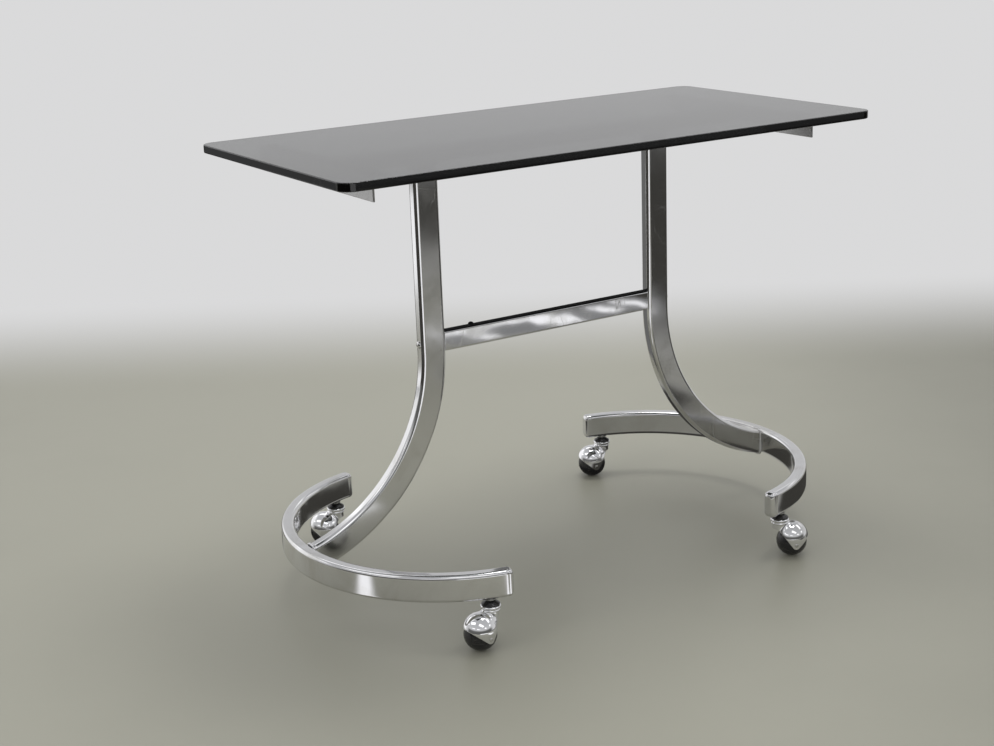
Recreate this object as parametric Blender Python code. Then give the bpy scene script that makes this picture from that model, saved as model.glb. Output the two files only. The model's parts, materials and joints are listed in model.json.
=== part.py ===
"""Rolling side table: a smoked glass top on a chromed tube frame with four ball casters.

Metres, +Z up. The floor is Z = 0, X runs along the table and the front is at -Y.
"""

import math

import bmesh
import bpy
from mathutils import Matrix, Vector

# Clearances between pieces that seat on, fit in or turn inside each other
SEAT_GAP = 0.0003
PLUG_GAP = 0.0006
BALL_GAP = 0.00055

# Glass top and its pads
TABLE_HEIGHT = 0.667
GLASS_LENGTH = 0.890
GLASS_DEPTH = 0.450
GLASS_THICKNESS = 0.012
GLASS_CORNER_RADIUS = 0.020
GLASS_EDGE_RADIUS = 0.0015
PAD_DIAMETER = 0.018
PAD_THICKNESS = 0.002
PAD_INSET = 0.019

# Cross supports: steel angles that carry the glass
SUPPORT_SPACING = 0.748
SUPPORT_LENGTH = 0.338
ANGLE_SIDE = 0.025
ANGLE_THICKNESS = 0.003

# Frame tube, used for the legs, the base and the top rail
TUBE_WIDE = 0.040
TUBE_NARROW = 0.020
TUBE_WALL = 0.0015
TUBE_CORNER_RADIUS = 0.004

# Legs: straight above, bent outward below, with a short straight foot against the base
LEG_SPACING = 0.410
LEG_BEND_RADIUS = 0.280
LEG_BEND_ANGLE = math.radians(74.0)
LEG_FOOT_STRAIGHT = 0.0045

# Base tubes: arcs that open towards the middle of the table
BASE_ARC_RADIUS = 0.246
STEM_ANGLE = math.radians(71.0)
BASE_OVERHANG = 0.025
END_CAP_LENGTH = 0.008
END_CAP_ROUNDING = 0.007
END_CAP_TONGUE = 0.008

# Crossbar, its plugs and bolts
CROSSBAR_RISE = 0.012
CROSSBAR_TALL = 0.030
CROSSBAR_DEEP = 0.015
CROSSBAR_WALL = 0.0015
CROSSBAR_CORNER_RADIUS = 0.0025
PLUG_LENGTH = 0.016
BOLT_DIAMETER = 0.006
BOLT_HEAD_DIAMETER = 0.011
BOLT_HEAD_HEIGHT = 0.003
BOLT_GRIP = 0.012

# Ball casters
BALL_DIAMETER = 0.048
CASTER_TRAIL = 0.0193
HOOD_WALL = 0.0012
HOOD_LIFT = 0.0055
EAR_TIP_RADIUS = 0.0065
EAR_TRAIL_SLOPE = math.radians(33.5)
EAR_STEM_SLOPE = math.radians(54.3)
NECK_RISE = 0.00753
NECK_PLATE = 0.008
NECK_SKIRT = 0.0017
NECK_MARGIN = 0.0012
COLLAR_RIM = 0.0042
COLLAR_EDGE = 0.0042
COLLAR_LOWER_EDGE = 0.0028
COLLAR_STEP = 0.0013
COLLAR_GROOVE = 0.0013
COLLAR_CHAMFER = 0.0007
BEARING_BORE_WALL = 0.0012
BEARING_WIDTH = 0.0036
BEARING_DEPTH = 0.0025
STEM_DIAMETER = 0.009
STEM_FLANGE_THICKNESS = 0.0012
STEM_SHOW = 0.003
STEM_HEAD_LIP = 0.003
STEM_HEAD_THICKNESS = 0.0022
STEM_CHAMFER = 0.0015
DUST_CAP_HEIGHT = 0.005
DUST_CAP_NOSE = 0.0009
DUST_CAP_RIM = 0.0008
DUST_CAP_REVEAL = 0.0017
SOCKET_WALL = 0.0012
SOCKET_FLANGE = 0.001
SOCKET_FLANGE_LIP = 0.002
SOCKET_HEADROOM = 0.003
AXLE_DIAMETER = 0.004
AXLE_HEAD_DIAMETER = 0.0056
AXLE_HEAD_HEIGHT = 0.0006
HUB_DIAMETER = 0.009
HUB_PROUD = 0.0006

# Direction in which each ball trails its stem
SWIVEL_ANGLES = {
    "front_left": math.radians(-176.0),
    "front_right": math.radians(-24.0),
    "back_left": math.radians(156.0),
    "back_right": math.radians(164.0),
}

# Limits on roundings, the size of the axis marks, and how near points merge
ROUNDING_LIMIT = 0.9
SMALLEST_CORNER = 0.0004
AXIS_MARK = 0.02
MERGE_DISTANCE = 0.0000001

# Facets
CORNER_STEPS = 2
GLASS_CORNER_STEPS = 5
GLASS_EDGE_STEPS = 2
LEG_BEND_STEPS = 9
BASE_ARC_STEPS = 20
CAP_STEPS = 3
BALL_STEPS = 7
BALL_SEGMENTS = 16
DOME_STEPS = 5
CAVITY_STEPS = 4
HOOD_SEGMENTS = 20
EAR_TIP_STEPS = 4
BOLT_HEAD_STEPS = 3
NECK_SEGMENTS = 16
ROUND_SEGMENTS = 12
SMOOTH_ANGLE = math.radians(32.0)

# Sizes that follow from the ones above
stem_radius = STEM_DIAMETER / 2
ball_radius = BALL_DIAMETER / 2
hood_inner_radius = ball_radius + BALL_GAP
hood_radius = hood_inner_radius + HOOD_WALL
hub_radius = HUB_DIAMETER / 2
ear_inner_radius = hood_inner_radius * math.cos(math.pi / HOOD_SEGMENTS)
hub_face = math.sqrt(ear_inner_radius**2 - hub_radius**2) - SEAT_GAP
ball_side = hub_face - HUB_PROUD
ball_side_angle = math.asin(ball_side / ball_radius)
tread_radius = ball_radius * math.cos(ball_side_angle / BALL_STEPS)
axle_height = tread_radius * math.cos(math.pi / BALL_SEGMENTS)
hood_centre_height = axle_height + HOOD_LIFT
collar_top = hood_centre_height + hood_radius + NECK_RISE
collar_groove_top = collar_top - COLLAR_EDGE
collar_groove_bottom = collar_groove_top - COLLAR_GROOVE
collar_bottom = collar_groove_bottom - COLLAR_LOWER_EDGE
bearing_seat_inner = stem_radius + SEAT_GAP + BEARING_BORE_WALL
bearing_seat_outer = bearing_seat_inner + BEARING_WIDTH + 2 * SEAT_GAP
neck_radius = bearing_seat_outer + NECK_MARGIN
collar_radius = bearing_seat_outer + SEAT_GAP + COLLAR_RIM
stem_flange_radius = bearing_seat_outer - SEAT_GAP
stem_flange_bottom = collar_top + 2 * SEAT_GAP
dust_cap_bottom = collar_top + SEAT_GAP
dust_cap_top = dust_cap_bottom + DUST_CAP_HEIGHT
socket_bottom = dust_cap_top + STEM_SHOW
socket_inner_radius = stem_radius + SEAT_GAP
socket_radius = socket_inner_radius + SOCKET_WALL
socket_flange_radius = socket_radius + SOCKET_FLANGE_LIP
base_bottom = socket_bottom + SOCKET_FLANGE + SEAT_GAP
base_top = base_bottom + TUBE_WIDE
base_middle = (base_bottom + base_top) / 2
socket_top = base_top - TUBE_WALL - SOCKET_HEADROOM

glass_bottom = TABLE_HEIGHT - GLASS_THICKNESS
pad_bottom = glass_bottom - SEAT_GAP - PAD_THICKNESS
support_top = pad_bottom - SEAT_GAP
rail_top = support_top - ANGLE_THICKNESS - SEAT_GAP
rail_bottom = rail_top - TUBE_NARROW
leg_top = rail_bottom - SEAT_GAP
support_outer_x = SUPPORT_SPACING / 2 + ANGLE_THICKNESS / 2

leg_x = LEG_SPACING / 2
bend_end_x = leg_x + LEG_BEND_RADIUS * (1 - math.cos(LEG_BEND_ANGLE))
foot_upper_x = bend_end_x + TUBE_WIDE / 2 * math.cos(LEG_BEND_ANGLE)
foot_x = foot_upper_x + LEG_FOOT_STRAIGHT
bend_drop = (LEG_BEND_RADIUS - TUBE_WIDE / 2) * math.sin(LEG_BEND_ANGLE)
foot_drop = LEG_FOOT_STRAIGHT / math.tan(LEG_BEND_ANGLE)
bend_start = base_top + foot_drop + bend_drop

base_end_angle = STEM_ANGLE + BASE_OVERHANG / BASE_ARC_RADIUS
base_facet_angle = 2 * base_end_angle / BASE_ARC_STEPS
foot_facet_gap = TUBE_NARROW / 2 * math.tan(base_facet_angle / 2)
base_inner_x = foot_x + foot_facet_gap + SEAT_GAP
base_centre_x = base_inner_x + TUBE_NARROW / 2 - BASE_ARC_RADIUS

crossbar_height = bend_start + CROSSBAR_RISE
crossbar_half_length = leg_x - TUBE_WIDE / 2 - SEAT_GAP
bolt_hole_radius = BOLT_DIAMETER / 2 + SEAT_GAP


def clear_scene():
    for item in list(bpy.data.objects):
        bpy.data.objects.remove(item, do_unlink=True)


def make_material(name, colour, roughness, metallic, transmission=0.0):
    material = bpy.data.materials.new(name)
    material.use_nodes = True
    shader = material.node_tree.nodes["Principled BSDF"]
    shader.inputs["Base Color"].default_value = (*colour, 1.0)
    shader.inputs["Roughness"].default_value = roughness
    shader.inputs["Metallic"].default_value = metallic
    shader.inputs["Transmission Weight"].default_value = transmission
    return material


def finish_mesh(name, bm):
    """Turns a bmesh into a mesh with outward faces, smooth where its faces bend gently."""
    bmesh.ops.recalc_face_normals(bm, faces=bm.faces)
    mesh = bpy.data.meshes.new(name)
    bm.to_mesh(mesh)
    bm.free()
    mesh.shade_smooth()
    mesh.set_sharp_from_angle(angle=SMOOTH_ANGLE)
    return mesh


def add_object(name, mesh, material, location=(0.0, 0.0, 0.0), rotation=(0.0, 0.0, 0.0), parent=None):
    """Adds a node. Copies that share a mesh each get their own object."""
    if material is not None and not mesh.materials:
        mesh.materials.append(material)
    item = bpy.data.objects.new(name, mesh)
    item.location = location
    item.rotation_euler = rotation
    item.parent = parent
    bpy.context.scene.collection.objects.link(item)
    return item


def add_empty(name, location, rotation=(0.0, 0.0, 0.0), parent=None):
    empty = bpy.data.objects.new(name, None)
    empty.empty_display_size = AXIS_MARK
    empty.location = location
    empty.rotation_euler = rotation
    empty.parent = parent
    bpy.context.scene.collection.objects.link(empty)
    return empty


def rounded_rectangle(width, height, radius, steps=CORNER_STEPS):
    """Outline of a rectangle with round corners, anticlockwise about the origin."""
    radius = min(radius, ROUNDING_LIMIT * width / 2, ROUNDING_LIMIT * height / 2)
    points = []
    for quarter, (side_x, side_y) in enumerate(((1, 1), (-1, 1), (-1, -1), (1, -1))):
        for step in range(steps + 1):
            angle = math.radians(90.0 * (quarter + step / steps))
            x = side_x * (width / 2 - radius) + radius * math.cos(angle)
            y = side_y * (height / 2 - radius) + radius * math.sin(angle)
            points.append((x, y))
    return points


def tube_outlines(width, height, wall, radius):
    """Outer and inner outline of a tube, with the same number of points."""
    outer = rounded_rectangle(width, height, radius)
    inner_radius = max(radius - wall, SMALLEST_CORNER)
    inner = rounded_rectangle(width - 2 * wall, height - 2 * wall, inner_radius)
    return outer, inner


def loft(bm, rings, closed=False):
    """Joins rings of points with quads, the last to the first too if closed, and returns the vertices."""
    rows = [[bm.verts.new(point) for point in ring] for ring in rings]
    pairs = list(zip(rows, rows[1:]))
    if closed:
        pairs.append((rows[-1], rows[0]))
    for lower, upper in pairs:
        for i, j in zip(range(len(lower)), [*range(1, len(lower)), 0]):
            bm.faces.new((lower[i], lower[j], upper[j], upper[i]))
    return rows


def hollow_mesh(name, outer_rings, inner_rings):
    """A tube with open ends: a loft that runs along the outside and back along the inside."""
    bm = bmesh.new()
    loft(bm, outer_rings + inner_rings[::-1], closed=True)
    return finish_mesh(name, bm)


def solid_mesh(name, rings):
    """A loft with a flat face over each end."""
    bm = bmesh.new()
    rows = loft(bm, rings)
    bm.faces.new(rows[0])
    bm.faces.new(rows[-1])
    return finish_mesh(name, bm)


def turned_mesh(name, profile, segments=ROUND_SEGMENTS):
    """A turned piece about Z. A profile that starts on the axis ends there too, and any other is a loop."""
    bm = bmesh.new()
    points = [bm.verts.new((radius, 0.0, height)) for radius, height in profile]
    pairs = list(zip(points, points[1:]))
    if profile[0][0] > 0:
        pairs.append((points[-1], points[0]))
    edges = [bm.edges.new(pair) for pair in pairs]
    bmesh.ops.spin(
        bm,
        geom=points + edges,
        cent=(0.0, 0.0, 0.0),
        axis=(0.0, 0.0, 1.0),
        angle=math.tau,
        steps=segments,
        use_merge=True,
    )
    bmesh.ops.remove_doubles(bm, verts=bm.verts, dist=MERGE_DISTANCE)
    return finish_mesh(name, bm)


def arc_points(centre, radius, start, end, steps):
    """Points of an arc in its own plane, both ends included."""
    points = []
    for step in range(steps + 1):
        angle = start + (end - start) * step / steps
        points.append((centre[0] + radius * math.cos(angle), centre[1] + radius * math.sin(angle)))
    return points


def combine(target, tool_mesh, operation, offset=(0.0, 0.0, 0.0)):
    """Cuts a mesh out of an object, or joins it on, and keeps the result as the object's mesh."""
    tool = add_object(target.name + "_tool", tool_mesh, None, offset)
    tool.hide_render = True
    tool.display_type = "WIRE"
    modifier = target.modifiers.new(operation.lower(), "BOOLEAN")
    modifier.object = tool
    modifier.operation = operation
    modifier.solver = "EXACT"
    graph = bpy.context.evaluated_depsgraph_get()
    result = bpy.data.meshes.new_from_object(target.evaluated_get(graph))
    target.modifiers.clear()
    target.data = result
    bpy.data.objects.remove(tool)
    bpy.data.meshes.remove(tool_mesh)


def carved_mesh(name, base_mesh, operations):
    """A mesh after a list of (tool mesh, operation, offset), made on a helper object."""
    helper = add_object(name + "_blank", base_mesh, None)
    for tool_mesh, operation, offset in operations:
        combine(helper, tool_mesh, operation, offset)
    mesh = helper.data
    mesh.name = name
    mesh.materials.clear()
    bpy.data.objects.remove(helper)
    mesh.shade_smooth()
    mesh.set_sharp_from_angle(angle=SMOOTH_ANGLE)
    return mesh


def rod_mesh(name, radius, low, high, segments=ROUND_SEGMENTS):
    return turned_mesh(name, [(0.0, high), (radius, high), (radius, low), (0.0, low)], segments)


def turned_about_x(mesh):
    """Lays a piece turned about Z along X."""
    mesh.transform(Matrix.Rotation(math.pi / 2, 4, "Y"))
    return mesh


def glass_mesh():
    """Sheet with round corners and a flat edge between two rounded arrises."""
    flat_half = GLASS_THICKNESS / 2 - GLASS_EDGE_RADIUS
    rings = []
    for way, start in ((-1, -math.pi / 2), (1, 0.0)):
        for step in range(GLASS_EDGE_STEPS + 1):
            tilt = start + math.pi / 2 * step / GLASS_EDGE_STEPS
            inset = GLASS_EDGE_RADIUS * (1 - math.cos(tilt))
            height = way * flat_half + GLASS_EDGE_RADIUS * math.sin(tilt)
            corner = max(GLASS_CORNER_RADIUS - inset, SMALLEST_CORNER)
            outline = rounded_rectangle(
                GLASS_LENGTH - 2 * inset, GLASS_DEPTH - 2 * inset, corner, GLASS_CORNER_STEPS
            )
            rings.append([(x, y, height) for x, y in outline])
    return solid_mesh("glass_top", rings)


def support_mesh():
    """Angle with its upright side outward and its flat side on top, along Y."""
    outline = [
        (0.0, 0.0),
        (-ANGLE_SIDE, 0.0),
        (-ANGLE_SIDE, -ANGLE_THICKNESS),
        (-ANGLE_THICKNESS, -ANGLE_THICKNESS),
        (-ANGLE_THICKNESS, -ANGLE_SIDE),
        (0.0, -ANGLE_SIDE),
    ]
    ends = (-SUPPORT_LENGTH / 2, SUPPORT_LENGTH / 2)
    return solid_mesh("cross_support", [[(x, y, z) for x, z in outline] for y in ends])


def straight_tube_mesh(name, half_length, wide, tall, wall, radius):
    """Tube along X with open ends."""
    outlines = tube_outlines(wide, tall, wall, radius)
    sides = [[[(x, y, z) for y, z in outline] for x in (-half_length, half_length)] for outline in outlines]
    return hollow_mesh(name, *sides)


def leg_rings(outline):
    """Rings down a leg at +X: the straight, the bend, and a foot cut upright to meet the base."""
    bend_centre = Vector((leg_x + LEG_BEND_RADIUS, 0.0, bend_start))
    rings = [[Vector((leg_x + across, y, leg_top)) for across, y in outline]]
    for step in range(LEG_BEND_STEPS + 1):
        turn = LEG_BEND_ANGLE * step / LEG_BEND_STEPS
        inward = Vector((math.cos(turn), 0.0, math.sin(turn)))
        middle = bend_centre - LEG_BEND_RADIUS * inward
        rings.append([middle + across * inward + Vector((0.0, y, 0.0)) for across, y in outline])
    forward = Vector((math.sin(LEG_BEND_ANGLE), 0.0, -math.cos(LEG_BEND_ANGLE)))
    rings.append([point + forward * ((foot_x - point.x) / forward.x) for point in rings[-1]])
    return rings


def leg_mesh():
    outer, inner = tube_outlines(TUBE_WIDE, TUBE_NARROW, TUBE_WALL, TUBE_CORNER_RADIUS)
    blank = hollow_mesh("leg_blank", leg_rings(outer), leg_rings(inner))
    drill = turned_about_x(rod_mesh("bolt_drill", bolt_hole_radius, -TUBE_WIDE, TUBE_WIDE))
    return carved_mesh("leg", blank, [(drill, "DIFFERENCE", (leg_x, 0.0, crossbar_height))])


def base_point(angle, radius=BASE_ARC_RADIUS):
    """Point on the base arc at +X, with angles measured from the middle of the arc."""
    return Vector((base_centre_x + radius * math.cos(angle), radius * math.sin(angle), 0.0))


def base_rings(outline):
    rings = []
    for step in range(BASE_ARC_STEPS + 1):
        angle = base_facet_angle * step - base_end_angle
        rings.append(
            [base_point(angle, BASE_ARC_RADIUS + r) + Vector((0.0, 0.0, z)) for r, z in outline]
        )
    return rings


def base_mesh():
    """Arc of tube about the middle of its height, drilled below for the caster sockets."""
    outer, inner = tube_outlines(TUBE_NARROW, TUBE_WIDE, TUBE_WALL, TUBE_CORNER_RADIUS)
    blank = hollow_mesh("base_blank", base_rings(outer), base_rings(inner))
    drills = []
    for end in (-1, 1):
        drill = rod_mesh("socket_drill", socket_radius + SEAT_GAP, -TUBE_WIDE, 0.0)
        drills.append((drill, "DIFFERENCE", base_point(end * STEM_ANGLE)))
    return carved_mesh("base_tube", blank, drills)


def end_cap_mesh():
    """Domed cap along +X with a tongue that plugs into the tube."""
    tongue_wide = TUBE_NARROW - 2 * TUBE_WALL - 2 * PLUG_GAP
    tongue_tall = TUBE_WIDE - 2 * TUBE_WALL - 2 * PLUG_GAP
    tongue = rounded_rectangle(tongue_wide, tongue_tall, TUBE_CORNER_RADIUS - TUBE_WALL)
    skirt = rounded_rectangle(TUBE_NARROW, TUBE_WIDE, TUBE_CORNER_RADIUS)
    rounding = min(END_CAP_ROUNDING, ROUNDING_LIMIT * END_CAP_LENGTH, ROUNDING_LIMIT * TUBE_NARROW / 2)
    rings = [[(x, y, z) for y, z in tongue] for x in (-END_CAP_TONGUE, SEAT_GAP)]
    rings.append([(SEAT_GAP, y, z) for y, z in skirt])
    for step in range(CAP_STEPS + 1):
        tilt = math.pi / 2 * step / CAP_STEPS
        inset = rounding * (1 - math.cos(tilt))
        x = END_CAP_LENGTH - rounding * (1 - math.sin(tilt))
        outline = rounded_rectangle(TUBE_NARROW - 2 * inset, TUBE_WIDE - 2 * inset, TUBE_CORNER_RADIUS)
        rings.append([(x, y, z) for y, z in outline])
    return solid_mesh("end_cap", rings)


def crossbar_plug_mesh():
    """Block in the crossbar's end with a round hole for the bolt, from X = 0 towards +X."""
    tall = CROSSBAR_TALL - 2 * CROSSBAR_WALL - 2 * SEAT_GAP
    deep = CROSSBAR_DEEP - 2 * CROSSBAR_WALL - 2 * SEAT_GAP
    outline = rounded_rectangle(deep, tall, CROSSBAR_CORNER_RADIUS - CROSSBAR_WALL)
    block = solid_mesh("plug_blank", [[(x, y, z) for y, z in outline] for x in (0.0, PLUG_LENGTH)])
    drill = turned_about_x(rod_mesh("plug_drill", bolt_hole_radius, -PLUG_LENGTH, 2 * PLUG_LENGTH))
    return carved_mesh("crossbar_plug", block, [(drill, "DIFFERENCE", (0.0, 0.0, 0.0))])


def bolt_mesh():
    """Bolt along X with its domed head at +X and its shank towards -X."""
    shank = BOLT_DIAMETER / 2
    head = BOLT_HEAD_DIAMETER / 2
    length = TUBE_WIDE + SEAT_GAP + BOLT_GRIP
    profile = [(0.0, SEAT_GAP + BOLT_HEAD_HEIGHT)]
    for x, y in arc_points((0.0, 0.0), 1.0, math.pi / 2, 0.0, BOLT_HEAD_STEPS)[1:]:
        profile.append((head * x, SEAT_GAP + BOLT_HEAD_HEIGHT * y))
    profile += [(shank, SEAT_GAP), (shank, -length), (0.0, -length)]
    return turned_about_x(turned_mesh("crossbar_bolt", profile))


def socket_mesh():
    """Sleeve that lines the drilled tube, with a flange below."""
    flange_top = socket_bottom + SOCKET_FLANGE
    profile = [
        (socket_inner_radius, socket_top),
        (socket_radius, socket_top),
        (socket_radius, flange_top),
        (socket_flange_radius, flange_top),
        (socket_flange_radius, socket_bottom),
        (socket_inner_radius, socket_bottom),
    ]
    return turned_mesh("socket", profile)


def neck_ledge():
    """Height of the ledge inside the neck that the stem's head holds up."""
    return collar_top - BEARING_DEPTH - NECK_PLATE


def stem_mesh():
    """Stem with a thrust flange above the collar and a head below the neck's ledge."""
    head_top = neck_ledge() - SEAT_GAP
    head_radius = stem_radius + STEM_HEAD_LIP
    flange_top = stem_flange_bottom + STEM_FLANGE_THICKNESS
    tip = socket_top - SEAT_GAP
    profile = [
        (0.0, tip),
        (stem_radius - STEM_CHAMFER, tip),
        (stem_radius, tip - STEM_CHAMFER),
        (stem_radius, flange_top),
        (stem_flange_radius, flange_top),
        (stem_flange_radius, stem_flange_bottom),
        (stem_radius, stem_flange_bottom),
        (stem_radius, head_top),
        (head_radius, head_top),
        (head_radius, head_top - STEM_HEAD_THICKNESS),
        (0.0, head_top - STEM_HEAD_THICKNESS),
    ]
    return turned_mesh("stem", profile)


def dust_cap_mesh():
    """Cone over the stem's flange, hollow below to clear it."""
    pocket = stem_flange_radius + SEAT_GAP
    pocket_top = stem_flange_bottom + STEM_FLANGE_THICKNESS + SEAT_GAP
    bore = stem_radius + SEAT_GAP
    rim = collar_radius - DUST_CAP_REVEAL
    profile = [
        (bore, dust_cap_top),
        (bore + DUST_CAP_NOSE, dust_cap_top),
        (rim, dust_cap_bottom + DUST_CAP_RIM),
        (rim, dust_cap_bottom),
        (pocket, dust_cap_bottom),
        (pocket, pocket_top),
        (bore, pocket_top),
    ]
    return turned_mesh("dust_cap", profile, NECK_SEGMENTS)


def bearing_mesh():
    """Thrust bearing ring that stands a little proud of its groove in the collar."""
    inner = bearing_seat_inner + SEAT_GAP
    outer = bearing_seat_outer - SEAT_GAP
    low = collar_top - BEARING_DEPTH + SEAT_GAP
    high = collar_top + SEAT_GAP
    crown = (inner + outer) / 2
    middle = (low + high) / 2
    profile = [(inner, middle), (crown, high), (outer, middle), (crown, low)]
    return turned_mesh("bearing", profile)


def dome_profile(radius, low, steps):
    """Half outline of an upright cylinder under a half ball."""
    arc = arc_points((0.0, hood_centre_height), radius, math.pi / 2, 0.0, steps)
    arc[0] = (0.0, hood_centre_height + radius)
    return [*arc, (radius, low), (0.0, low)]


def collar_profile():
    """Neck under a collar of two steps with a groove between, and the bearing's groove in its top."""
    lower_radius = collar_radius - COLLAR_STEP
    groove_middle = (collar_groove_top + collar_groove_bottom) / 2
    return [
        (0.0, collar_top),
        (bearing_seat_inner, collar_top),
        (bearing_seat_inner, collar_top - BEARING_DEPTH),
        (bearing_seat_outer, collar_top - BEARING_DEPTH),
        (bearing_seat_outer, collar_top),
        (collar_radius - COLLAR_CHAMFER, collar_top),
        (collar_radius, collar_top - COLLAR_CHAMFER),
        (collar_radius, collar_groove_top),
        (lower_radius - COLLAR_CHAMFER, groove_middle),
        (lower_radius, collar_groove_bottom),
        (lower_radius, collar_bottom),
        (neck_radius, collar_bottom - COLLAR_CHAMFER),
        (neck_radius, hood_centre_height),
        (0.0, hood_centre_height),
    ]


def ear_cutter_mesh():
    """Block below the rim, which rises from an ear round the axle to the neck and to the trailing side."""
    axle = (CASTER_TRAIL, axle_height)
    reach = 2 * (CASTER_TRAIL + hood_radius)
    first = EAR_TRAIL_SLOPE - math.pi / 2
    last = -EAR_STEM_SLOPE - math.pi / 2
    ear = arc_points(axle, EAR_TIP_RADIUS, first, last, EAR_TIP_STEPS)
    trail_way = Vector((math.cos(EAR_TRAIL_SLOPE), math.sin(EAR_TRAIL_SLOPE)))
    stem_way = Vector((-math.cos(EAR_STEM_SLOPE), math.sin(EAR_STEM_SLOPE)))
    neck_bottom = collar_bottom - NECK_SKIRT
    climb = (neck_bottom - ear[-1][1]) / stem_way.y
    outline = [Vector(ear[0]) + trail_way * reach, *ear, Vector(ear[-1]) + stem_way * climb]
    outline += [(-reach, neck_bottom), (-reach, -reach), (2 * reach, -reach)]
    sides = (-2 * hood_radius, 2 * hood_radius)
    return solid_mesh("ear_cutter", [[(x, y, z) for x, z in outline] for y in sides])


def neck_bore_profile():
    """Bore for the stem, widened below the ledge for its head."""
    bore = stem_radius + SEAT_GAP
    pocket = stem_radius + STEM_HEAD_LIP + SEAT_GAP
    ledge = neck_ledge()
    top = collar_top + COLLAR_EDGE
    low = axle_height
    return [(0.0, top), (bore, top), (bore, ledge), (pocket, ledge), (pocket, low), (0.0, low)]


def hood_mesh():
    """Domed hood: a ball cover with two ears, and a neck with a collar that turns on the stem."""
    over_ball = (CASTER_TRAIL, 0.0, 0.0)
    at_stem = (0.0, 0.0, 0.0)
    low = axle_height - 2 * EAR_TIP_RADIUS
    dome = turned_mesh("dome", dome_profile(hood_radius, low, DOME_STEPS), HOOD_SEGMENTS)
    dome.transform(Matrix.Translation(over_ball))
    neck = turned_mesh("neck", collar_profile(), NECK_SEGMENTS)
    cavity = dome_profile(hood_inner_radius, low - HOOD_WALL, CAVITY_STEPS)
    cavity = turned_mesh("cavity", cavity, HOOD_SEGMENTS)
    bore = turned_mesh("neck_bore", neck_bore_profile(), NECK_SEGMENTS)
    axle_drill = rod_mesh("axle_drill", AXLE_DIAMETER / 2 + SEAT_GAP, -2 * hood_radius, 2 * hood_radius)
    axle_drill.transform(Matrix.Rotation(math.pi / 2, 4, "X"))
    steps = [
        (neck, "UNION", at_stem),
        (cavity, "DIFFERENCE", over_ball),
        (ear_cutter_mesh(), "DIFFERENCE", at_stem),
        (bore, "DIFFERENCE", at_stem),
        (axle_drill, "DIFFERENCE", (CASTER_TRAIL, 0.0, axle_height)),
    ]
    return carved_mesh("hood", dome, steps)


def axle_mesh():
    """Riveted pin about Z, with a flat head outside each ear."""
    pin = AXLE_DIAMETER / 2
    head = AXLE_HEAD_DIAMETER / 2
    seat = hood_radius + SEAT_GAP
    top = seat + AXLE_HEAD_HEIGHT
    upper = [(0.0, top), (head, top), (head, seat), (pin, seat)]
    lower = [(radius, -height) for radius, height in reversed(upper)]
    return turned_mesh("axle", upper + lower)


def ball_wheel_mesh():
    """Ball about Z with flattened sides, hub bosses that reach the ears, and a bore for the axle.

    Half a facet of turn lays one flat of its tread on the floor.
    """
    bore = AXLE_DIAMETER / 2 + SEAT_GAP
    ball = arc_points((0.0, 0.0), ball_radius, ball_side_angle, -ball_side_angle, BALL_STEPS)
    profile = [(bore, hub_face), (hub_radius, hub_face), (hub_radius, ball_side), *ball]
    profile += [(hub_radius, -ball_side), (hub_radius, -hub_face), (bore, -hub_face)]
    mesh = turned_mesh("ball_wheel", profile, BALL_SEGMENTS)
    mesh.transform(Matrix.Rotation(math.pi / BALL_SEGMENTS, 4, "Z"))
    return mesh


def build_top(materials):
    chrome = materials["chrome"]
    glass_middle = (0.0, 0.0, TABLE_HEIGHT - GLASS_THICKNESS / 2)
    add_object("glass_top", glass_mesh(), materials["glass"], glass_middle)
    pad = rod_mesh("glass_pad", PAD_DIAMETER / 2, 0.0, PAD_THICKNESS)
    support = support_mesh()
    pad_x = support_outer_x - ANGLE_SIDE / 2
    pad_y = SUPPORT_LENGTH / 2 - PAD_INSET
    for side, sign, turn in (("left", -1, math.pi), ("right", 1, 0.0)):
        place = (sign * support_outer_x, 0.0, support_top)
        add_object(side + "_cross_support", support, chrome, place, (0.0, 0.0, turn))
        for end, way in (("front", -1), ("back", 1)):
            place = (sign * pad_x, way * pad_y, pad_bottom)
            add_object(f"{end}_{side}_glass_pad", pad, materials["rubber"], place)
    rail_half = support_outer_x - ANGLE_THICKNESS - SEAT_GAP
    rail = straight_tube_mesh("top_rail", rail_half, TUBE_WIDE, TUBE_NARROW, TUBE_WALL, TUBE_CORNER_RADIUS)
    add_object("top_rail", rail, chrome, (0.0, 0.0, (rail_top + rail_bottom) / 2))


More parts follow.
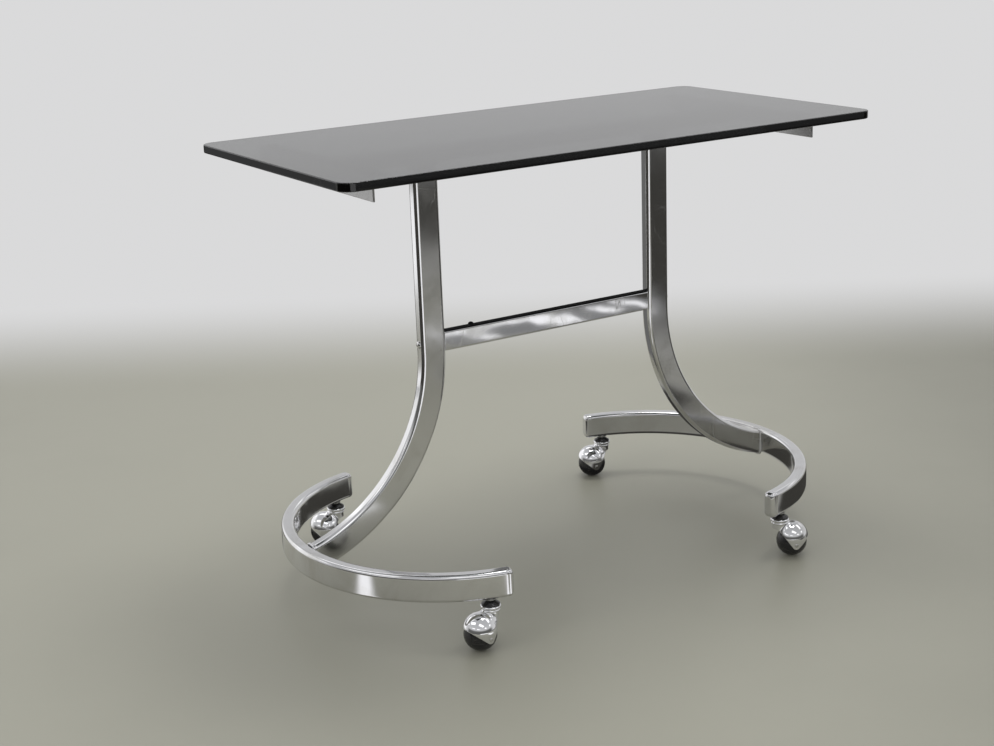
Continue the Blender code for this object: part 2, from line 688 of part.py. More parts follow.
def build_frame(materials):
    chrome = materials["chrome"]
    leg = leg_mesh()
    base = base_mesh()
    cap = end_cap_mesh()
    plug = crossbar_plug_mesh()
    bolt = bolt_mesh()
    for side, turn in (("left", math.pi), ("right", 0.0)):
        frame_side = add_empty(side + "_side", (0.0, 0.0, 0.0), (0.0, 0.0, turn))
        add_object(side + "_leg", leg, chrome, parent=frame_side)
        add_object(side + "_base_tube", base, chrome, (0.0, 0.0, base_middle), parent=frame_side)
        for way in (-1, 1):
            end = "front" if (way < 0) == (side == "right") else "back"
            place = base_point(way * base_end_angle) + Vector((0.0, 0.0, base_middle))
            facing = way * (base_end_angle + math.pi / 2)
            add_object(f"{end}_{side}_end_cap", cap, chrome, place, (0.0, 0.0, facing), frame_side)
        plug_place = (crossbar_half_length - PLUG_LENGTH, 0.0, crossbar_height)
        add_object(side + "_crossbar_plug", plug, materials["steel"], plug_place, parent=frame_side)
        bolt_place = (leg_x + TUBE_WIDE / 2, 0.0, crossbar_height)
        add_object(side + "_crossbar_bolt", bolt, chrome, bolt_place, parent=frame_side)
    bar = straight_tube_mesh(
        "crossbar", crossbar_half_length, CROSSBAR_DEEP, CROSSBAR_TALL, CROSSBAR_WALL, CROSSBAR_CORNER_RADIUS
    )
    add_object("crossbar", bar, chrome, (0.0, 0.0, crossbar_height))


def build_casters(materials):
    fixed = (
        ("socket", socket_mesh(), materials["steel"]),
        ("stem", stem_mesh(), materials["steel"]),
        ("dust_cap", dust_cap_mesh(), materials["black"]),
    )
    turning = (
        ("bearing", bearing_mesh(), materials["steel"]),
        ("hood", hood_mesh(), materials["chrome"]),
    )
    axle = axle_mesh()
    wheel = ball_wheel_mesh()
    along_axle = (math.pi / 2, 0.0, 0.0)
    axle_place = (CASTER_TRAIL, 0.0, axle_height)
    for corner, swivel in SWIVEL_ANGLES.items():
        stem_place = base_point(STEM_ANGLE)
        if corner.startswith("front"):
            stem_place.y = -stem_place.y
        if corner.endswith("left"):
            stem_place.x = -stem_place.x
        mount = add_empty(corner + "_stem_axis", stem_place)
        for kind, mesh, material in fixed:
            add_object(f"{corner}_{kind}", mesh, material, parent=mount)
        caster = add_empty(corner + "_caster", (0.0, 0.0, 0.0), (0.0, 0.0, swivel), mount)
        for kind, mesh, material in turning:
            add_object(f"{corner}_{kind}", mesh, material, parent=caster)
        add_object(corner + "_axle", axle, materials["steel"], axle_place, along_axle, caster)
        add_object(corner + "_ball_wheel", wheel, materials["black"], axle_place, along_axle, caster)


def build():
    clear_scene()
    materials = {
        "chrome": make_material("polished_chrome", (0.78, 0.79, 0.80), 0.06, 1.0),
        "steel": make_material("zinc_plated_steel", (0.55, 0.55, 0.53), 0.30, 1.0),
        "glass": make_material("smoked_glass", (0.06, 0.065, 0.065), 0.02, 0.0, 0.6),
        "rubber": make_material("pad_rubber", (0.05, 0.05, 0.05), 0.80, 0.0),
        "black": make_material("black_plastic", (0.012, 0.012, 0.012), 0.35, 0.0),
    }
    build_top(materials)
    build_frame(materials)
    build_casters(materials)


build()
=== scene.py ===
# %% [markdown]
# # Rolling side table
#
# A smoked glass sheet lies on a chromed frame of rectangular tube. Two legs sweep outward into two C-shaped base
# tubes, a crossbar joins the legs, and four ball casters carry the base. The imported CAD model fixes every size and
# every joint. This lesson dresses it: each cell makes one kind of piece or finish, and says why it is made that way.
#
# We start from an empty stage and load the CAD model, whose size the dressed table has to keep.

import json
import math
from itertools import product

import bmesh
import bpy
import numpy as np
from mathutils import Matrix, Vector

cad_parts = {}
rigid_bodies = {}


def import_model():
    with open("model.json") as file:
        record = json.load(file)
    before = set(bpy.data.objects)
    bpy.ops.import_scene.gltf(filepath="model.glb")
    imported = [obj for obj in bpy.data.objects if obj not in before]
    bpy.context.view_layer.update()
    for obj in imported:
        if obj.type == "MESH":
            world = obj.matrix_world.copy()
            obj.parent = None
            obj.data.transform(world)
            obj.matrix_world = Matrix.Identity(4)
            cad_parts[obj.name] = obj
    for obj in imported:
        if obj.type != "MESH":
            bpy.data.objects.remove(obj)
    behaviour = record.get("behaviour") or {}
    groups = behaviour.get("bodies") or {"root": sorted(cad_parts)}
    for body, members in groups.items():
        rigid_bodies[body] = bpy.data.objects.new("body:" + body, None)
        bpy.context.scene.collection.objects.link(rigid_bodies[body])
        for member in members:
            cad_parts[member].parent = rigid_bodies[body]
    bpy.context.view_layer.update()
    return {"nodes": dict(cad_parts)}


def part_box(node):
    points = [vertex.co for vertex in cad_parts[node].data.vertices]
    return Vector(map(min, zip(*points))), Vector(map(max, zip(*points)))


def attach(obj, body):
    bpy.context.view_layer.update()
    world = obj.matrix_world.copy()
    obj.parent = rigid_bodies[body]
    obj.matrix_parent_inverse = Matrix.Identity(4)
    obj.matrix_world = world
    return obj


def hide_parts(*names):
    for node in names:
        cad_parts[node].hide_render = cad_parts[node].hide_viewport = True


for leftover in list(bpy.data.objects):
    bpy.data.objects.remove(leftover, do_unlink=True)

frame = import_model()

# %% [markdown]
# ## Small helpers for node trees
#
# Finishes and swept tubes are both node trees, and these helpers keep their cells short. A socket value that is
# itself an output socket is linked, and any other value is written on the socket.


# %% Helpers for node trees
def put(tree, socket, value):
    if isinstance(value, bpy.types.NodeSocket):
        tree.links.new(value, socket)
    else:
        socket.default_value = value


def add_node(tree, kind, values=None, **settings):
    node = tree.nodes.new(kind)
    for name, value in settings.items():
        setattr(node, name, value)
    for key, value in (values or {}).items():
        put(tree, node.inputs[key], value)
    return node


def new_group(name, kind, inputs, outputs):
    """A node group with named sockets, each with its type, and what comes in through them."""
    tree = bpy.data.node_groups.new(name, kind)
    for way, sockets in (("INPUT", inputs), ("OUTPUT", outputs)):
        for socket, type_name in sockets.items():
            tree.interface.new_socket(socket, in_out=way, socket_type="NodeSocket" + type_name)
    return tree, add_node(tree, "NodeGroupInput").outputs


print("tree helpers ready")

# %% [markdown]
# Patterns are sums, products and soft steps of numbers that change over a surface. Each function is a node or two.


# %% Helpers for patterns
def calculate(tree, operation, first, *others):
    """A Math node, or a chain of them when there are more than two values."""
    for other in others or (0.0,):
        first = add_node(tree, "ShaderNodeMath", {0: first, 1: other}, operation=operation).outputs[0]
    return first


def off_by(tree, value, centre):
    return calculate(tree, "ABSOLUTE", calculate(tree, "SUBTRACT", value, centre))


def remap(tree, value, low, high, to_low=0.0, to_high=1.0, kind="LINEAR"):
    """A Map Range node from one span of values to another, which also clamps."""
    spans = {"From Min": low, "From Max": high, "To Min": to_low, "To Max": to_high}
    return add_node(tree, "ShaderNodeMapRange", {"Value": value, **spans}, interpolation_type=kind).outputs["Result"]


def rise(tree, value, low, high):
    return remap(tree, value, low, high, kind="SMOOTHSTEP")


def fall(tree, value, low, high):
    return remap(tree, value, low, high, 1.0, 0.0, "SMOOTHSTEP")


def noise(tree, where, scale, detail, **more):
    sockets = {"Vector": where, "Scale": scale, "Detail": detail}
    sockets.update((name.title(), value) for name, value in more.items())
    return add_node(tree, "ShaderNodeTexNoise", sockets).outputs["Fac"]


def axes_of(tree, vector):
    return add_node(tree, "ShaderNodeSeparateXYZ", {"Vector": vector}).outputs


def reach_along(tree, vector, way):
    return add_node(tree, "ShaderNodeVectorMath", {0: vector, 1: way}, operation="DOT_PRODUCT").outputs["Value"]


def blend(tree, share, *colours):
    """A colour between two, by a share that changes. Each is a plain colour or the output of another node."""
    node = add_node(tree, "ShaderNodeMix", {"Factor": share}, data_type="RGBA")
    sockets = [socket for socket in node.inputs if socket.type == "RGBA"]
    for socket, colour in zip(sockets, colours):
        put(tree, socket, (*colour, 1.0) if isinstance(colour, tuple) else colour)
    return next(socket for socket in node.outputs if socket.type == "RGBA")


print("pattern helpers ready")

# %% [markdown]
# ## Handling marks
#
# Chrome that has been used for years is never evenly bright: hands leave cloudy smudges, cloths leave hairlines, and
# the tube under the plate is not perfectly flat. All shiny finishes share these marks as one node group. The
# hairlines are a trick worth knowing: where a slow noise passes through one half, its contour is a long thin curve,
# and a narrow band around it reads as a scratch.

# %% Shader group for smudges, hairlines and waviness
HAIRLINE_WIDTH = 0.004
HAIRLINE_RUNS = (((0.3, 0.5, 0.2), (1.0, 1.0, 0.25)), ((0.9, 0.1, 1.3), (0.3, 1.0, 1.0)))  # turn and squeeze


def make_handling_marks():
    inputs = {"Position": "Vector", "Smudge Scale": "Float", "Hairline Scale": "Float", "Wave Scale": "Float"}
    outputs = dict.fromkeys(("Smudges", "Hairlines", "Waves"), "Float")
    tree, given = new_group("handling_marks", "ShaderNodeTree", inputs, outputs)
    where = given["Position"]
    cloud = noise(tree, where, given["Smudge Scale"], 5.0, roughness=0.6, distortion=0.7)
    lines = []
    for turn, squeeze in HAIRLINE_RUNS:
        placed = add_node(tree, "ShaderNodeMapping", {"Vector": where, "Rotation": turn, "Scale": squeeze})
        drift = noise(tree, placed.outputs["Vector"], given["Hairline Scale"], 1.5, distortion=0.4)
        lines.append(remap(tree, off_by(tree, drift, 0.5), 0.0, HAIRLINE_WIDTH, 1.0, 0.0))
    scratches = calculate(tree, "MULTIPLY", calculate(tree, "MAXIMUM", *lines), remap(tree, cloud, 0.40, 0.60))
    waves = noise(tree, where, given["Wave Scale"], 1.0)
    smudges = rise(tree, cloud, 0.42, 0.72)
    add_node(tree, "NodeGroupOutput", {"Smudges": smudges, "Hairlines": scratches, "Waves": waves})
    return tree


handling_marks = make_handling_marks()
print("group:", handling_marks.name, "with", len(handling_marks.nodes), "nodes")

# %% [markdown]
# ## Dust and scuffs
#
# Black plastic shows what chrome hides: a grey film of dust, and paler scuffs where a wheel meets the floor. This
# group puts out a mask for each, and a fine grain for the moulded surface.

# %% Shader group for dust, scuffs and grain
SCUFF_STRETCH = (1.0, 1.0, 7.0)


def make_dust_and_scuffs():
    inputs = {"Position": "Vector", "Film Scale": "Float", "Grain Scale": "Float"}
    outputs = dict.fromkeys(("Dust", "Scuffs", "Grain"), "Float")
    tree, given = new_group("dust_and_scuffs", "ShaderNodeTree", inputs, outputs)
    where = given["Position"]
    film = noise(tree, where, given["Film Scale"], 6.0, roughness=0.65)
    stretched = add_node(tree, "ShaderNodeMapping", {"Vector": where, "Scale": SCUFF_STRETCH}).outputs["Vector"]
    streaks = noise(tree, stretched, given["Film Scale"], 3.0, distortion=0.5)
    grain = noise(tree, where, given["Grain Scale"], 2.0)
    masks = {"Dust": rise(tree, film, 0.45, 0.75), "Scuffs": remap(tree, streaks, 0.60, 0.68)}
    add_node(tree, "NodeGroupOutput", {**masks, "Grain": grain})
    return tree


dust_and_scuffs = make_dust_and_scuffs()
print("group:", dust_and_scuffs.name, "with", len(dust_and_scuffs.nodes), "nodes")

# %% [markdown]
# ## Polished chrome and zinc plate
#
# Chrome plate is a mirror, so nearly all of its look comes from what it reflects, and its base colour is that
# mirror's own brightness. Smudges dull it, hairlines scatter the light, and a very shallow bump lets straight
# reflections wander the way they do on bent tube. Values that never change, such as Metallic, sit on the shader's own
# socket. The hidden fittings are zinc plate, greyer and rougher, from the same function.

# %% Finishes: chrome and zinc plate
CHROME_MARKS, ZINC_MARKS, GLASS_MARKS = (11.0, 26.0, 16.0), (60.0, 90.0, 140.0), (5.0, 14.0, 4.0)


def new_finish(name, values):
    """A material with plain values on its shader's sockets, its tree, and its Object coordinates."""
    material = bpy.data.materials.new(name)
    material.use_nodes = True
    tree = material.node_tree
    for key, value in values.items():
        tree.nodes["Principled BSDF"].inputs[key].default_value = value
    return material, tree, add_node(tree, "ShaderNodeTexCoord").outputs["Object"]


def feed(tree, outputs):
    for key, output in outputs.items():
        tree.links.new(output, tree.nodes["Principled BSDF"].inputs[key])


def bumped(tree, strength, height, pattern):
    values = {"Strength": strength, "Distance": height, "Height": pattern}
    return add_node(tree, "ShaderNodeBump", values).outputs["Normal"]


def marked(tree, where, scales, clean, dull, smooth, cloudy, scratched):
    """The colour, the roughness and the waves of a surface with handling marks."""
    sizes = dict(zip(("Smudge Scale", "Hairline Scale", "Wave Scale"), scales))
    marks = add_node(tree, "ShaderNodeGroup", {"Position": where, **sizes}, node_tree=handling_marks).outputs
    cloud = remap(tree, marks["Smudges"], 0.0, 1.0, smooth, cloudy)
    roughness = calculate(tree, "ADD", cloud, remap(tree, marks["Hairlines"], 0.0, 1.0, 0.0, scratched))
    return blend(tree, marks["Smudges"], clean, dull), roughness, marks["Waves"]


def make_metal(name, clean, dull, smooth, cloudy, scales=CHROME_MARKS, scratched=0.14, strength=1.0, height=0.0003):
    material, tree, where = new_finish(name, {"Roughness": smooth, "Metallic": 1.0})
    colour, roughness, waves = marked(tree, where, scales, clean, dull, smooth, cloudy, scratched)
    feed(tree, {"Base Color": colour, "Roughness": roughness, "Normal": bumped(tree, strength, height, waves)})
    print("finish:", name)
    return material


tube_chrome = make_metal("tube_chrome", (0.71, 0.71, 0.715), (0.60, 0.595, 0.58), 0.10, 0.18)
caster_chrome = make_metal("caster_chrome", (0.80, 0.80, 0.81), (0.66, 0.66, 0.65), 0.035, 0.10)
support_chrome = make_metal("support_chrome", (0.44, 0.44, 0.435), (0.36, 0.355, 0.34), 0.22, 0.34, height=0.0002)
bar_chrome = make_metal("bar_chrome", (0.78, 0.78, 0.79), (0.68, 0.68, 0.67), 0.05, 0.10)
zinc_tints = (0.60, 0.60, 0.585), (0.47, 0.465, 0.44)
zinc_plate = make_metal("zinc_plate", *zinc_tints, 0.26, 0.42, ZINC_MARKS, scratched=0.0, strength=0.5, height=0.0002)

# %% [markdown]
# ## Rubber and black plastic
#
# The pads under the glass are matt rubber, and so is the strip on the crossbar. The ball wheels and the dust caps are
# moulded black plastic, which is not pure black once dust has settled on it.


# %% Finishes: rubber and black plastic
def make_plastic(name, tints, smooth, rough, film_scale, grain_scale, grain_height, shine=0.5):
    """A moulded finish. The tints are those of the clean, the dusty and the scuffed surface."""
    clean, dusty, scuffed = tints
    values = {"Roughness": smooth, "Metallic": 0.0, "Specular IOR Level": shine}
    material, tree, where = new_finish(name, values)
    sizes = {"Position": where, "Film Scale": film_scale, "Grain Scale": grain_scale}
    dirt = add_node(tree, "ShaderNodeGroup", sizes, node_tree=dust_and_scuffs).outputs
    colour = blend(tree, dirt["Scuffs"], blend(tree, dirt["Dust"], clean, dusty), scuffed)
    roughness = remap(tree, dirt["Dust"], 0.0, 1.0, smooth, rough)
    grain = bumped(tree, 0.4, grain_height, dirt["Grain"])
    feed(tree, {"Base Color": colour, "Roughness": roughness, "Normal": grain})
    print("finish:", name)
    return material


pad_tints = (0.040, 0.040, 0.040), (0.075, 0.072, 0.068), (0.09, 0.09, 0.085)
wheel_tints = (0.010, 0.010, 0.011), (0.026, 0.025, 0.024), (0.05, 0.048, 0.045)
strip_tints = (0.010, 0.010, 0.010), (0.016, 0.016, 0.015), (0.02, 0.02, 0.019)
pad_rubber = make_plastic("pad_rubber", pad_tints, 0.70, 0.90, 160.0, 900.0, 0.0002)
wheel_plastic = make_plastic("wheel_plastic", wheel_tints, 0.22, 0.48, 70.0, 700.0, 0.0001)
strip_rubber = make_plastic("strip_rubber", strip_tints, 0.85, 0.95, 90.0, 800.0, 0.0001, shine=0.1)

# %% [markdown]
# ## Smoked glass
#
# The top is a dark tinted sheet. Seen at a low angle it is mostly a mirror, so it looks mid grey in a pale room,
# while its edge, where we look into the depth of the sheet, is nearly black. Transmission with a dark tint gives the
# first for nothing. The tint works at the surface and knows nothing of depth, so the edge, which is all that lies
# between the two faces, gets a deeper one. Wiped glass also keeps faint clouds.

# %% Finish: smoked glass
GLASS_THICK, TABLE_TOP, FACE_SKIN = 0.012, 0.667, 0.0003
FACE_TINT, CLOUDED_TINT, EDGE_TINT = (0.050, 0.054, 0.054), (0.060, 0.063, 0.062), (0.004, 0.004, 0.004)


def make_smoked_glass():
    values = {"Roughness": 0.01, "Metallic": 0.0, "Transmission Weight": 1.0, "IOR": 1.52}
    material, tree, where = new_finish("smoked_glass", values)
    face, roughness, _ = marked(tree, where, GLASS_MARKS, FACE_TINT, CLOUDED_TINT, 0.012, 0.055, 0.05)
    height = axes_of(tree, where)["Z"]
    above_bottom = calculate(tree, "GREATER_THAN", height, TABLE_TOP - GLASS_THICK + FACE_SKIN)
    below_top = calculate(tree, "LESS_THAN", height, TABLE_TOP - FACE_SKIN)
    edge = calculate(tree, "MULTIPLY", above_bottom, below_top)
    feed(tree, {"Base Color": blend(tree, edge, face, EDGE_TINT), "Roughness": roughness})
    return material


smoked_glass = make_smoked_glass()
print("finish:", smoked_glass.name)

# %% [markdown]
# ## Turning helpers into pieces
#
# A piece is a plain mesh at the origin that rides on a CAD body and stands for CAD nodes. Modifiers and node trees
# run on a helper object and are baked into a new mesh, so nothing live is left. Weighted Normal keeps flat sides
# flat: without it the shading of a rounded corner would bleed across the whole side.

# %% Helpers for meshes
KEEP_FLAT = ("WEIGHTED_NORMAL", {"mode": "FACE_AREA", "weight": 80, "keep_sharp": True})
SHARP_ANGLE = math.radians(40.0)


def link_object(name, data):
    thing = bpy.data.objects.new(name, data)
    bpy.context.scene.collection.objects.link(thing)
    return thing


def baked(helper):
    """The helper's mesh after its modifiers, as a new plain mesh. The helper itself is removed."""
    graph = bpy.context.evaluated_depsgraph_get()
    result = bpy.data.meshes.new_from_object(helper.evaluated_get(graph))
    bpy.data.objects.remove(helper)
    return result


def bake(mesh, *modifiers):
    """The mesh after a list of (modifier type, settings)."""
    helper = link_object("helper", mesh)
    for kind, settings in modifiers:
        modifier = helper.modifiers.new(kind.lower(), kind)
        for name, value in settings.items():
            setattr(modifier, name, value)
    return baked(helper)


def from_bmesh(bm):
    """A smooth-shaded mesh with outward faces and sharp edges where its faces meet steeply."""
    bmesh.ops.recalc_face_normals(bm, faces=bm.faces)
    mesh = bpy.data.meshes.new("shape")
    bm.to_mesh(mesh)
    bm.free()
    mesh.shade_smooth()
    mesh.set_sharp_from_angle(angle=SHARP_ANGLE)
    return mesh


def joined(*meshes):
    bm = bmesh.new()
    for mesh in meshes:
        bm.from_mesh(mesh)
    return from_bmesh(bm)


def moved(mesh, matrix):
    copy = mesh.copy()
    copy.transform(matrix)
    return copy


def triangles(mesh):
    mesh.calc_loop_triangles()
    return len(mesh.loop_triangles)


print("mesh helpers ready")

# %% [markdown]
# The frame's two halves are alike: the left one is the right one after a half turn about the table's middle. So each
# shape is made once, on the right, and added twice.

# %% Helpers for pieces
SIDES = {"left": Matrix.Rotation(math.pi, 4, "Z"), "right": Matrix.Identity(4)}


def add_piece(name, mesh, finish, slot, body, *nodes):
    """Links a finished mesh as a piece: its finish, the body it rides on and the nodes it stands for. The slot is not
    used.
    """
    mesh.name = name
    mesh.materials.clear()
    mesh.materials.append(finish)
    piece = link_object(name, mesh)
    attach(piece, body)
    if nodes:
        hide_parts(*nodes)


def add_on_both_sides(piece, mesh, finish, *nodes):
    for side, turn in SIDES.items():
        stands_for = [f"{side}_{node}" for node in nodes]
        add_piece(f"{side}_{piece}", moved(mesh, turn), finish, "chrome", "frame", *stands_for)
    print(f"{piece}: {triangles(mesh)} triangles each")


print("piece helpers ready")

# %% [markdown]
# ## A tree that sweeps a tube along a path
#
# Legs, base, rail and crossbar are one idea: a rounded rectangle pushed along a path. That is a rule, so Geometry
# Nodes make it: a chain of edges becomes a curve, and Curve to Mesh pushes a filleted rectangle along it. The sizes
# are named inputs, so one tree serves every tube. Solidify then gives the tube its wall.


# %% Geometry Nodes: swept tube
def end_tree(tree, name, geometry, finish):
    """Every tree ends alike: instances become real, the finish is set, and the result goes out."""
    whole = add_node(tree, "GeometryNodeRealizeInstances", {"Geometry": geometry}).outputs[0]
    painted = add_node(tree, "GeometryNodeSetMaterial", {"Geometry": whole, "Material": finish}).outputs[0]
    add_node(tree, "NodeGroupOutput", {name: painted})
    print("tree:", tree.name, "with", len(tree.nodes), "nodes")
    return tree


def make_swept_tube():
    inputs = {"Path": "Geometry", "Width": "Float", "Height": "Float"}
    inputs.update({"Corner Radius": "Float", "Corner Steps": "Int", "Finish": "Material"})
    tree, given = new_group("swept_tube", "GeometryNodeTree", inputs, {"Tube": "Geometry"})
    path = add_node(tree, "GeometryNodeMeshToCurve", {"Mesh": given["Path"]})
    sides = {"Width": given["Width"], "Height": given["Height"]}
    rectangle = add_node(tree, "GeometryNodeCurvePrimitiveQuadrilateral", sides)
    rounding = {"Curve": rectangle.outputs["Curve"], "Count": given["Corner Steps"], "Radius": given["Corner Radius"]}
    outline = add_node(tree, "GeometryNodeFilletCurve", rounding, mode="POLY")
    sweep = {"Curve": path.outputs["Curve"], "Profile Curve": outline.outputs["Curve"]}
    tube = add_node(tree, "GeometryNodeCurveToMesh", sweep)
    return end_tree(tree, "Tube", tube.outputs["Mesh"], given["Finish"])


def run_tree(tree, points, values, closed=False, facings=None):
    """Runs a tree on a chain of points, or on loose points that face given ways, and gives back a plain mesh."""
    edges = [] if facings else [(i, i + 1) for i in range(len(points) - 1)]
    if closed:
        edges.append((len(points) - 1, 0))
    chain = bpy.data.meshes.new("chain")
    chain.from_pydata(points, edges, [])
    if facings:
        facing = chain.attributes.new("facing", "FLOAT_VECTOR", "POINT")
        facing.data.foreach_set("vector", [part for way in facings for part in way])
    helper = link_object("chain", chain)
    modifier = helper.modifiers.new("tree", "NODES")
    modifier.node_group = tree
    names = {item.name: item.identifier for item in tree.interface.items_tree if item.in_out == "INPUT"}
    for name, value in values.items():
        modifier[names[name]] = value
    return baked(helper)


swept_tube = make_swept_tube()

# %% [markdown]
# ## The legs
#
# Each leg is 40 by 20 mm tube, straight at the top and bent outward through an arc at the bottom, where it is cut
# upright to meet the base. The path runs past the cut, and a bisecting plane trims it, so the cut end is true.

# %% Legs
TUBE_WIDE, TUBE_NARROW, TUBE_WALL, TUBE_CORNER, TUBE_CORNER_STEPS = 0.040, 0.020, 0.0015, 0.006, 10
LEG_X, LEG_TOP, BEND_START = 0.205, 0.6288, 0.3627502
BEND_RADIUS, BEND_ANGLE, FOOT_X = 0.280, math.radians(74.0), 0.417834
BEND_STEPS, UNCUT = 96, 1.0
WALL = ("SOLIDIFY", {"thickness": TUBE_WALL, "offset": -1.0, "use_even_offset": True})


def bend_place(turn):
    """A point of the leg's middle line, by how far the bend has turned."""
    return LEG_X + BEND_RADIUS * (1 - math.cos(turn)), 0.0, BEND_START - BEND_RADIUS * math.sin(turn)


def leg_path():
    bend = [bend_place(BEND_ANGLE * step / BEND_STEPS) for step in range(BEND_STEPS + 1)]
    past_cut = Vector((math.sin(BEND_ANGLE), 0.0, -math.cos(BEND_ANGLE))) * TUBE_WIDE
    return [(LEG_X, 0.0, LEG_TOP), *bend, tuple(Vector(bend[-1]) + past_cut)]


def tube_along(path, width, height, corner=TUBE_CORNER, steps=TUBE_CORNER_STEPS, cut_x=UNCUT):
    """A tube with its wall along a path, without what lies to the right of an upright cut."""
    sizes = {"Width": width, "Height": height, "Corner Radius": corner, "Corner Steps": steps}
    bm = bmesh.new()
    bm.from_mesh(run_tree(swept_tube, path, {**sizes, "Finish": tube_chrome}))
    cut = {"plane_co": (cut_x, 0.0, 0.0), "plane_no": (1.0, 0.0, 0.0), "clear_outer": True}
    bmesh.ops.bisect_plane(bm, geom=[*bm.verts, *bm.edges, *bm.faces], **cut)
    return bake(from_bmesh(bm), WALL, KEEP_FLAT)


leg_mesh = tube_along(leg_path(), TUBE_WIDE, TUBE_NARROW, cut_x=FOOT_X)
add_on_both_sides("leg_tube", leg_mesh, tube_chrome, "leg")

# %% [markdown]
# ## The base tubes
#
# The base is the same tube stood on its narrow side and bent into a C. A plain arc is the path. With the widths
# swapped, the tree above makes it without a change.

# %% Base tubes
ARC_RADIUS, ARC_CENTRE_X, ARC_END = 0.246, 0.1828057, math.radians(76.8227)
BASE_MIDDLE, ARC_STEPS = 0.0915322, 168


def base_place(angle):
    return ARC_CENTRE_X + ARC_RADIUS * math.cos(angle), ARC_RADIUS * math.sin(angle), BASE_MIDDLE


base_path = [base_place(ARC_END * (2 * step / ARC_STEPS - 1)) for step in range(ARC_STEPS + 1)]
add_on_both_sides("base_arc", tube_along(base_path, TUBE_NARROW, TUBE_WIDE), tube_chrome, "base_tube")

# %% [markdown]
# ## The top rail and the crossbar
#
# The rail lies under the glass and ties the legs to the cross supports. The crossbar is a slimmer tube between the
# legs. Both are straight, so their paths have two points.

# %% Rail and crossbar
RAIL_HALF, RAIL_HEIGHT, STRAIGHT_CORNER_STEPS = 0.3722, 0.6391, 6
BAR_HALF, BAR_HEIGHT, BAR_TALL, BAR_DEEP, BAR_CORNER = 0.1847, 0.3747502, 0.030, 0.015, 0.0030


def straight_tube(half_length, height, *section):
    ends = [(-half_length, 0.0, height), (half_length, 0.0, height)]
    return tube_along(ends, *section, STRAIGHT_CORNER_STEPS)


rail_mesh = straight_tube(RAIL_HALF, RAIL_HEIGHT, TUBE_WIDE, TUBE_NARROW, TUBE_CORNER)
bar_mesh = straight_tube(BAR_HALF, BAR_HEIGHT, BAR_DEEP, BAR_TALL, BAR_CORNER)
add_piece("top_rail_tube", rail_mesh, tube_chrome, "chrome", "frame", "top_rail")
add_piece("crossbar_tube", bar_mesh, bar_chrome, "chrome", "frame", "crossbar")
print("rail and crossbar:", triangles(rail_mesh), triangles(bar_mesh), "triangles")

# %% [markdown]
# ## End caps on the base
#
# A domed cap closes each end of the base. It is a loft of rounded rectangles that shrink along a quarter circle, with
# a tongue inside the tube. Bmesh joins the rings with quads.

# %% End caps
CAP_LENGTH, CAP_ROUNDING, CAP_TONGUE, SEAT = 0.008, 0.007, 0.008, 0.0003
CAP_STEPS, CORNER_STEPS, WIDEST_ROUNDING = 12, 8, 0.48


def rounded_rectangle(width, height, radius, steps=CORNER_STEPS):
    radius = min(radius, WIDEST_ROUNDING * width, WIDEST_ROUNDING * height)
    points = []
    for quarter, (side_x, side_y) in enumerate(((1, 1), (-1, 1), (-1, -1), (1, -1))):
        for step in range(steps + 1):
            angle = math.radians(90.0 * (quarter + step / steps))
            x = side_x * (width / 2 - radius) + radius * math.cos(angle)
            y = side_y * (height / 2 - radius) + radius * math.sin(angle)
            points.append((x, y))
    return points


def lofted(rings):
    """Rings of points joined with quads, and a flat face over each end."""
    bm = bmesh.new()
    rows = [[bm.verts.new(point) for point in ring] for ring in rings]
    for lower, upper in zip(rows, rows[1:]):
        for i in range(len(lower)):
            j = (i + 1) % len(lower)
            bm.faces.new((lower[i], lower[j], upper[j], upper[i]))
    bm.faces.new(rows[0])
    bm.faces.new(rows[-1])
    return from_bmesh(bm)


def end_cap():
    inside = 2 * (TUBE_WALL + 2 * SEAT)
    tongue = rounded_rectangle(TUBE_NARROW - inside, TUBE_WIDE - inside, TUBE_CORNER - TUBE_WALL)
    outlines = [(-CAP_TONGUE, tongue), (SEAT, tongue), (SEAT, rounded_rectangle(TUBE_NARROW, TUBE_WIDE, TUBE_CORNER))]
    for step in range(CAP_STEPS + 1):
        tilt = math.pi / 2 * step / CAP_STEPS
        inset = CAP_ROUNDING * (1 - math.cos(tilt))
        x = CAP_LENGTH - CAP_ROUNDING * (1 - math.sin(tilt))
        outlines.append((x, rounded_rectangle(TUBE_NARROW - 2 * inset, TUBE_WIDE - 2 * inset, TUBE_CORNER)))
    return bake(lofted([[(x, y, z) for y, z in outline] for x, outline in outlines]), KEEP_FLAT)


cap_mesh = end_cap()
for side, turn in SIDES.items():
    for way in (-1, 1):
        corner = ("front_" if (way < 0) == (side == "right") else "back_") + side
        facing = Matrix.Rotation(way * (ARC_END + math.pi / 2), 4, "Z")
        cap = moved(cap_mesh, turn @ Matrix.Translation(base_place(way * ARC_END)) @ facing)
        add_piece(f"{corner}_cap", cap, tube_chrome, "chrome", "frame", f"{corner}_end_cap")
print("end caps:", triangles(cap_mesh), "triangles each")

# %% [markdown]
# ## Weld seams
#
# The legs are welded to the base and to the rail, and the rail to the supports. A ground and plated weld is a thin
# round seam that ripples slightly, so it is another sweep: a small circle along the joint's outline, whose radius
# swells and shrinks by a sine of the length.


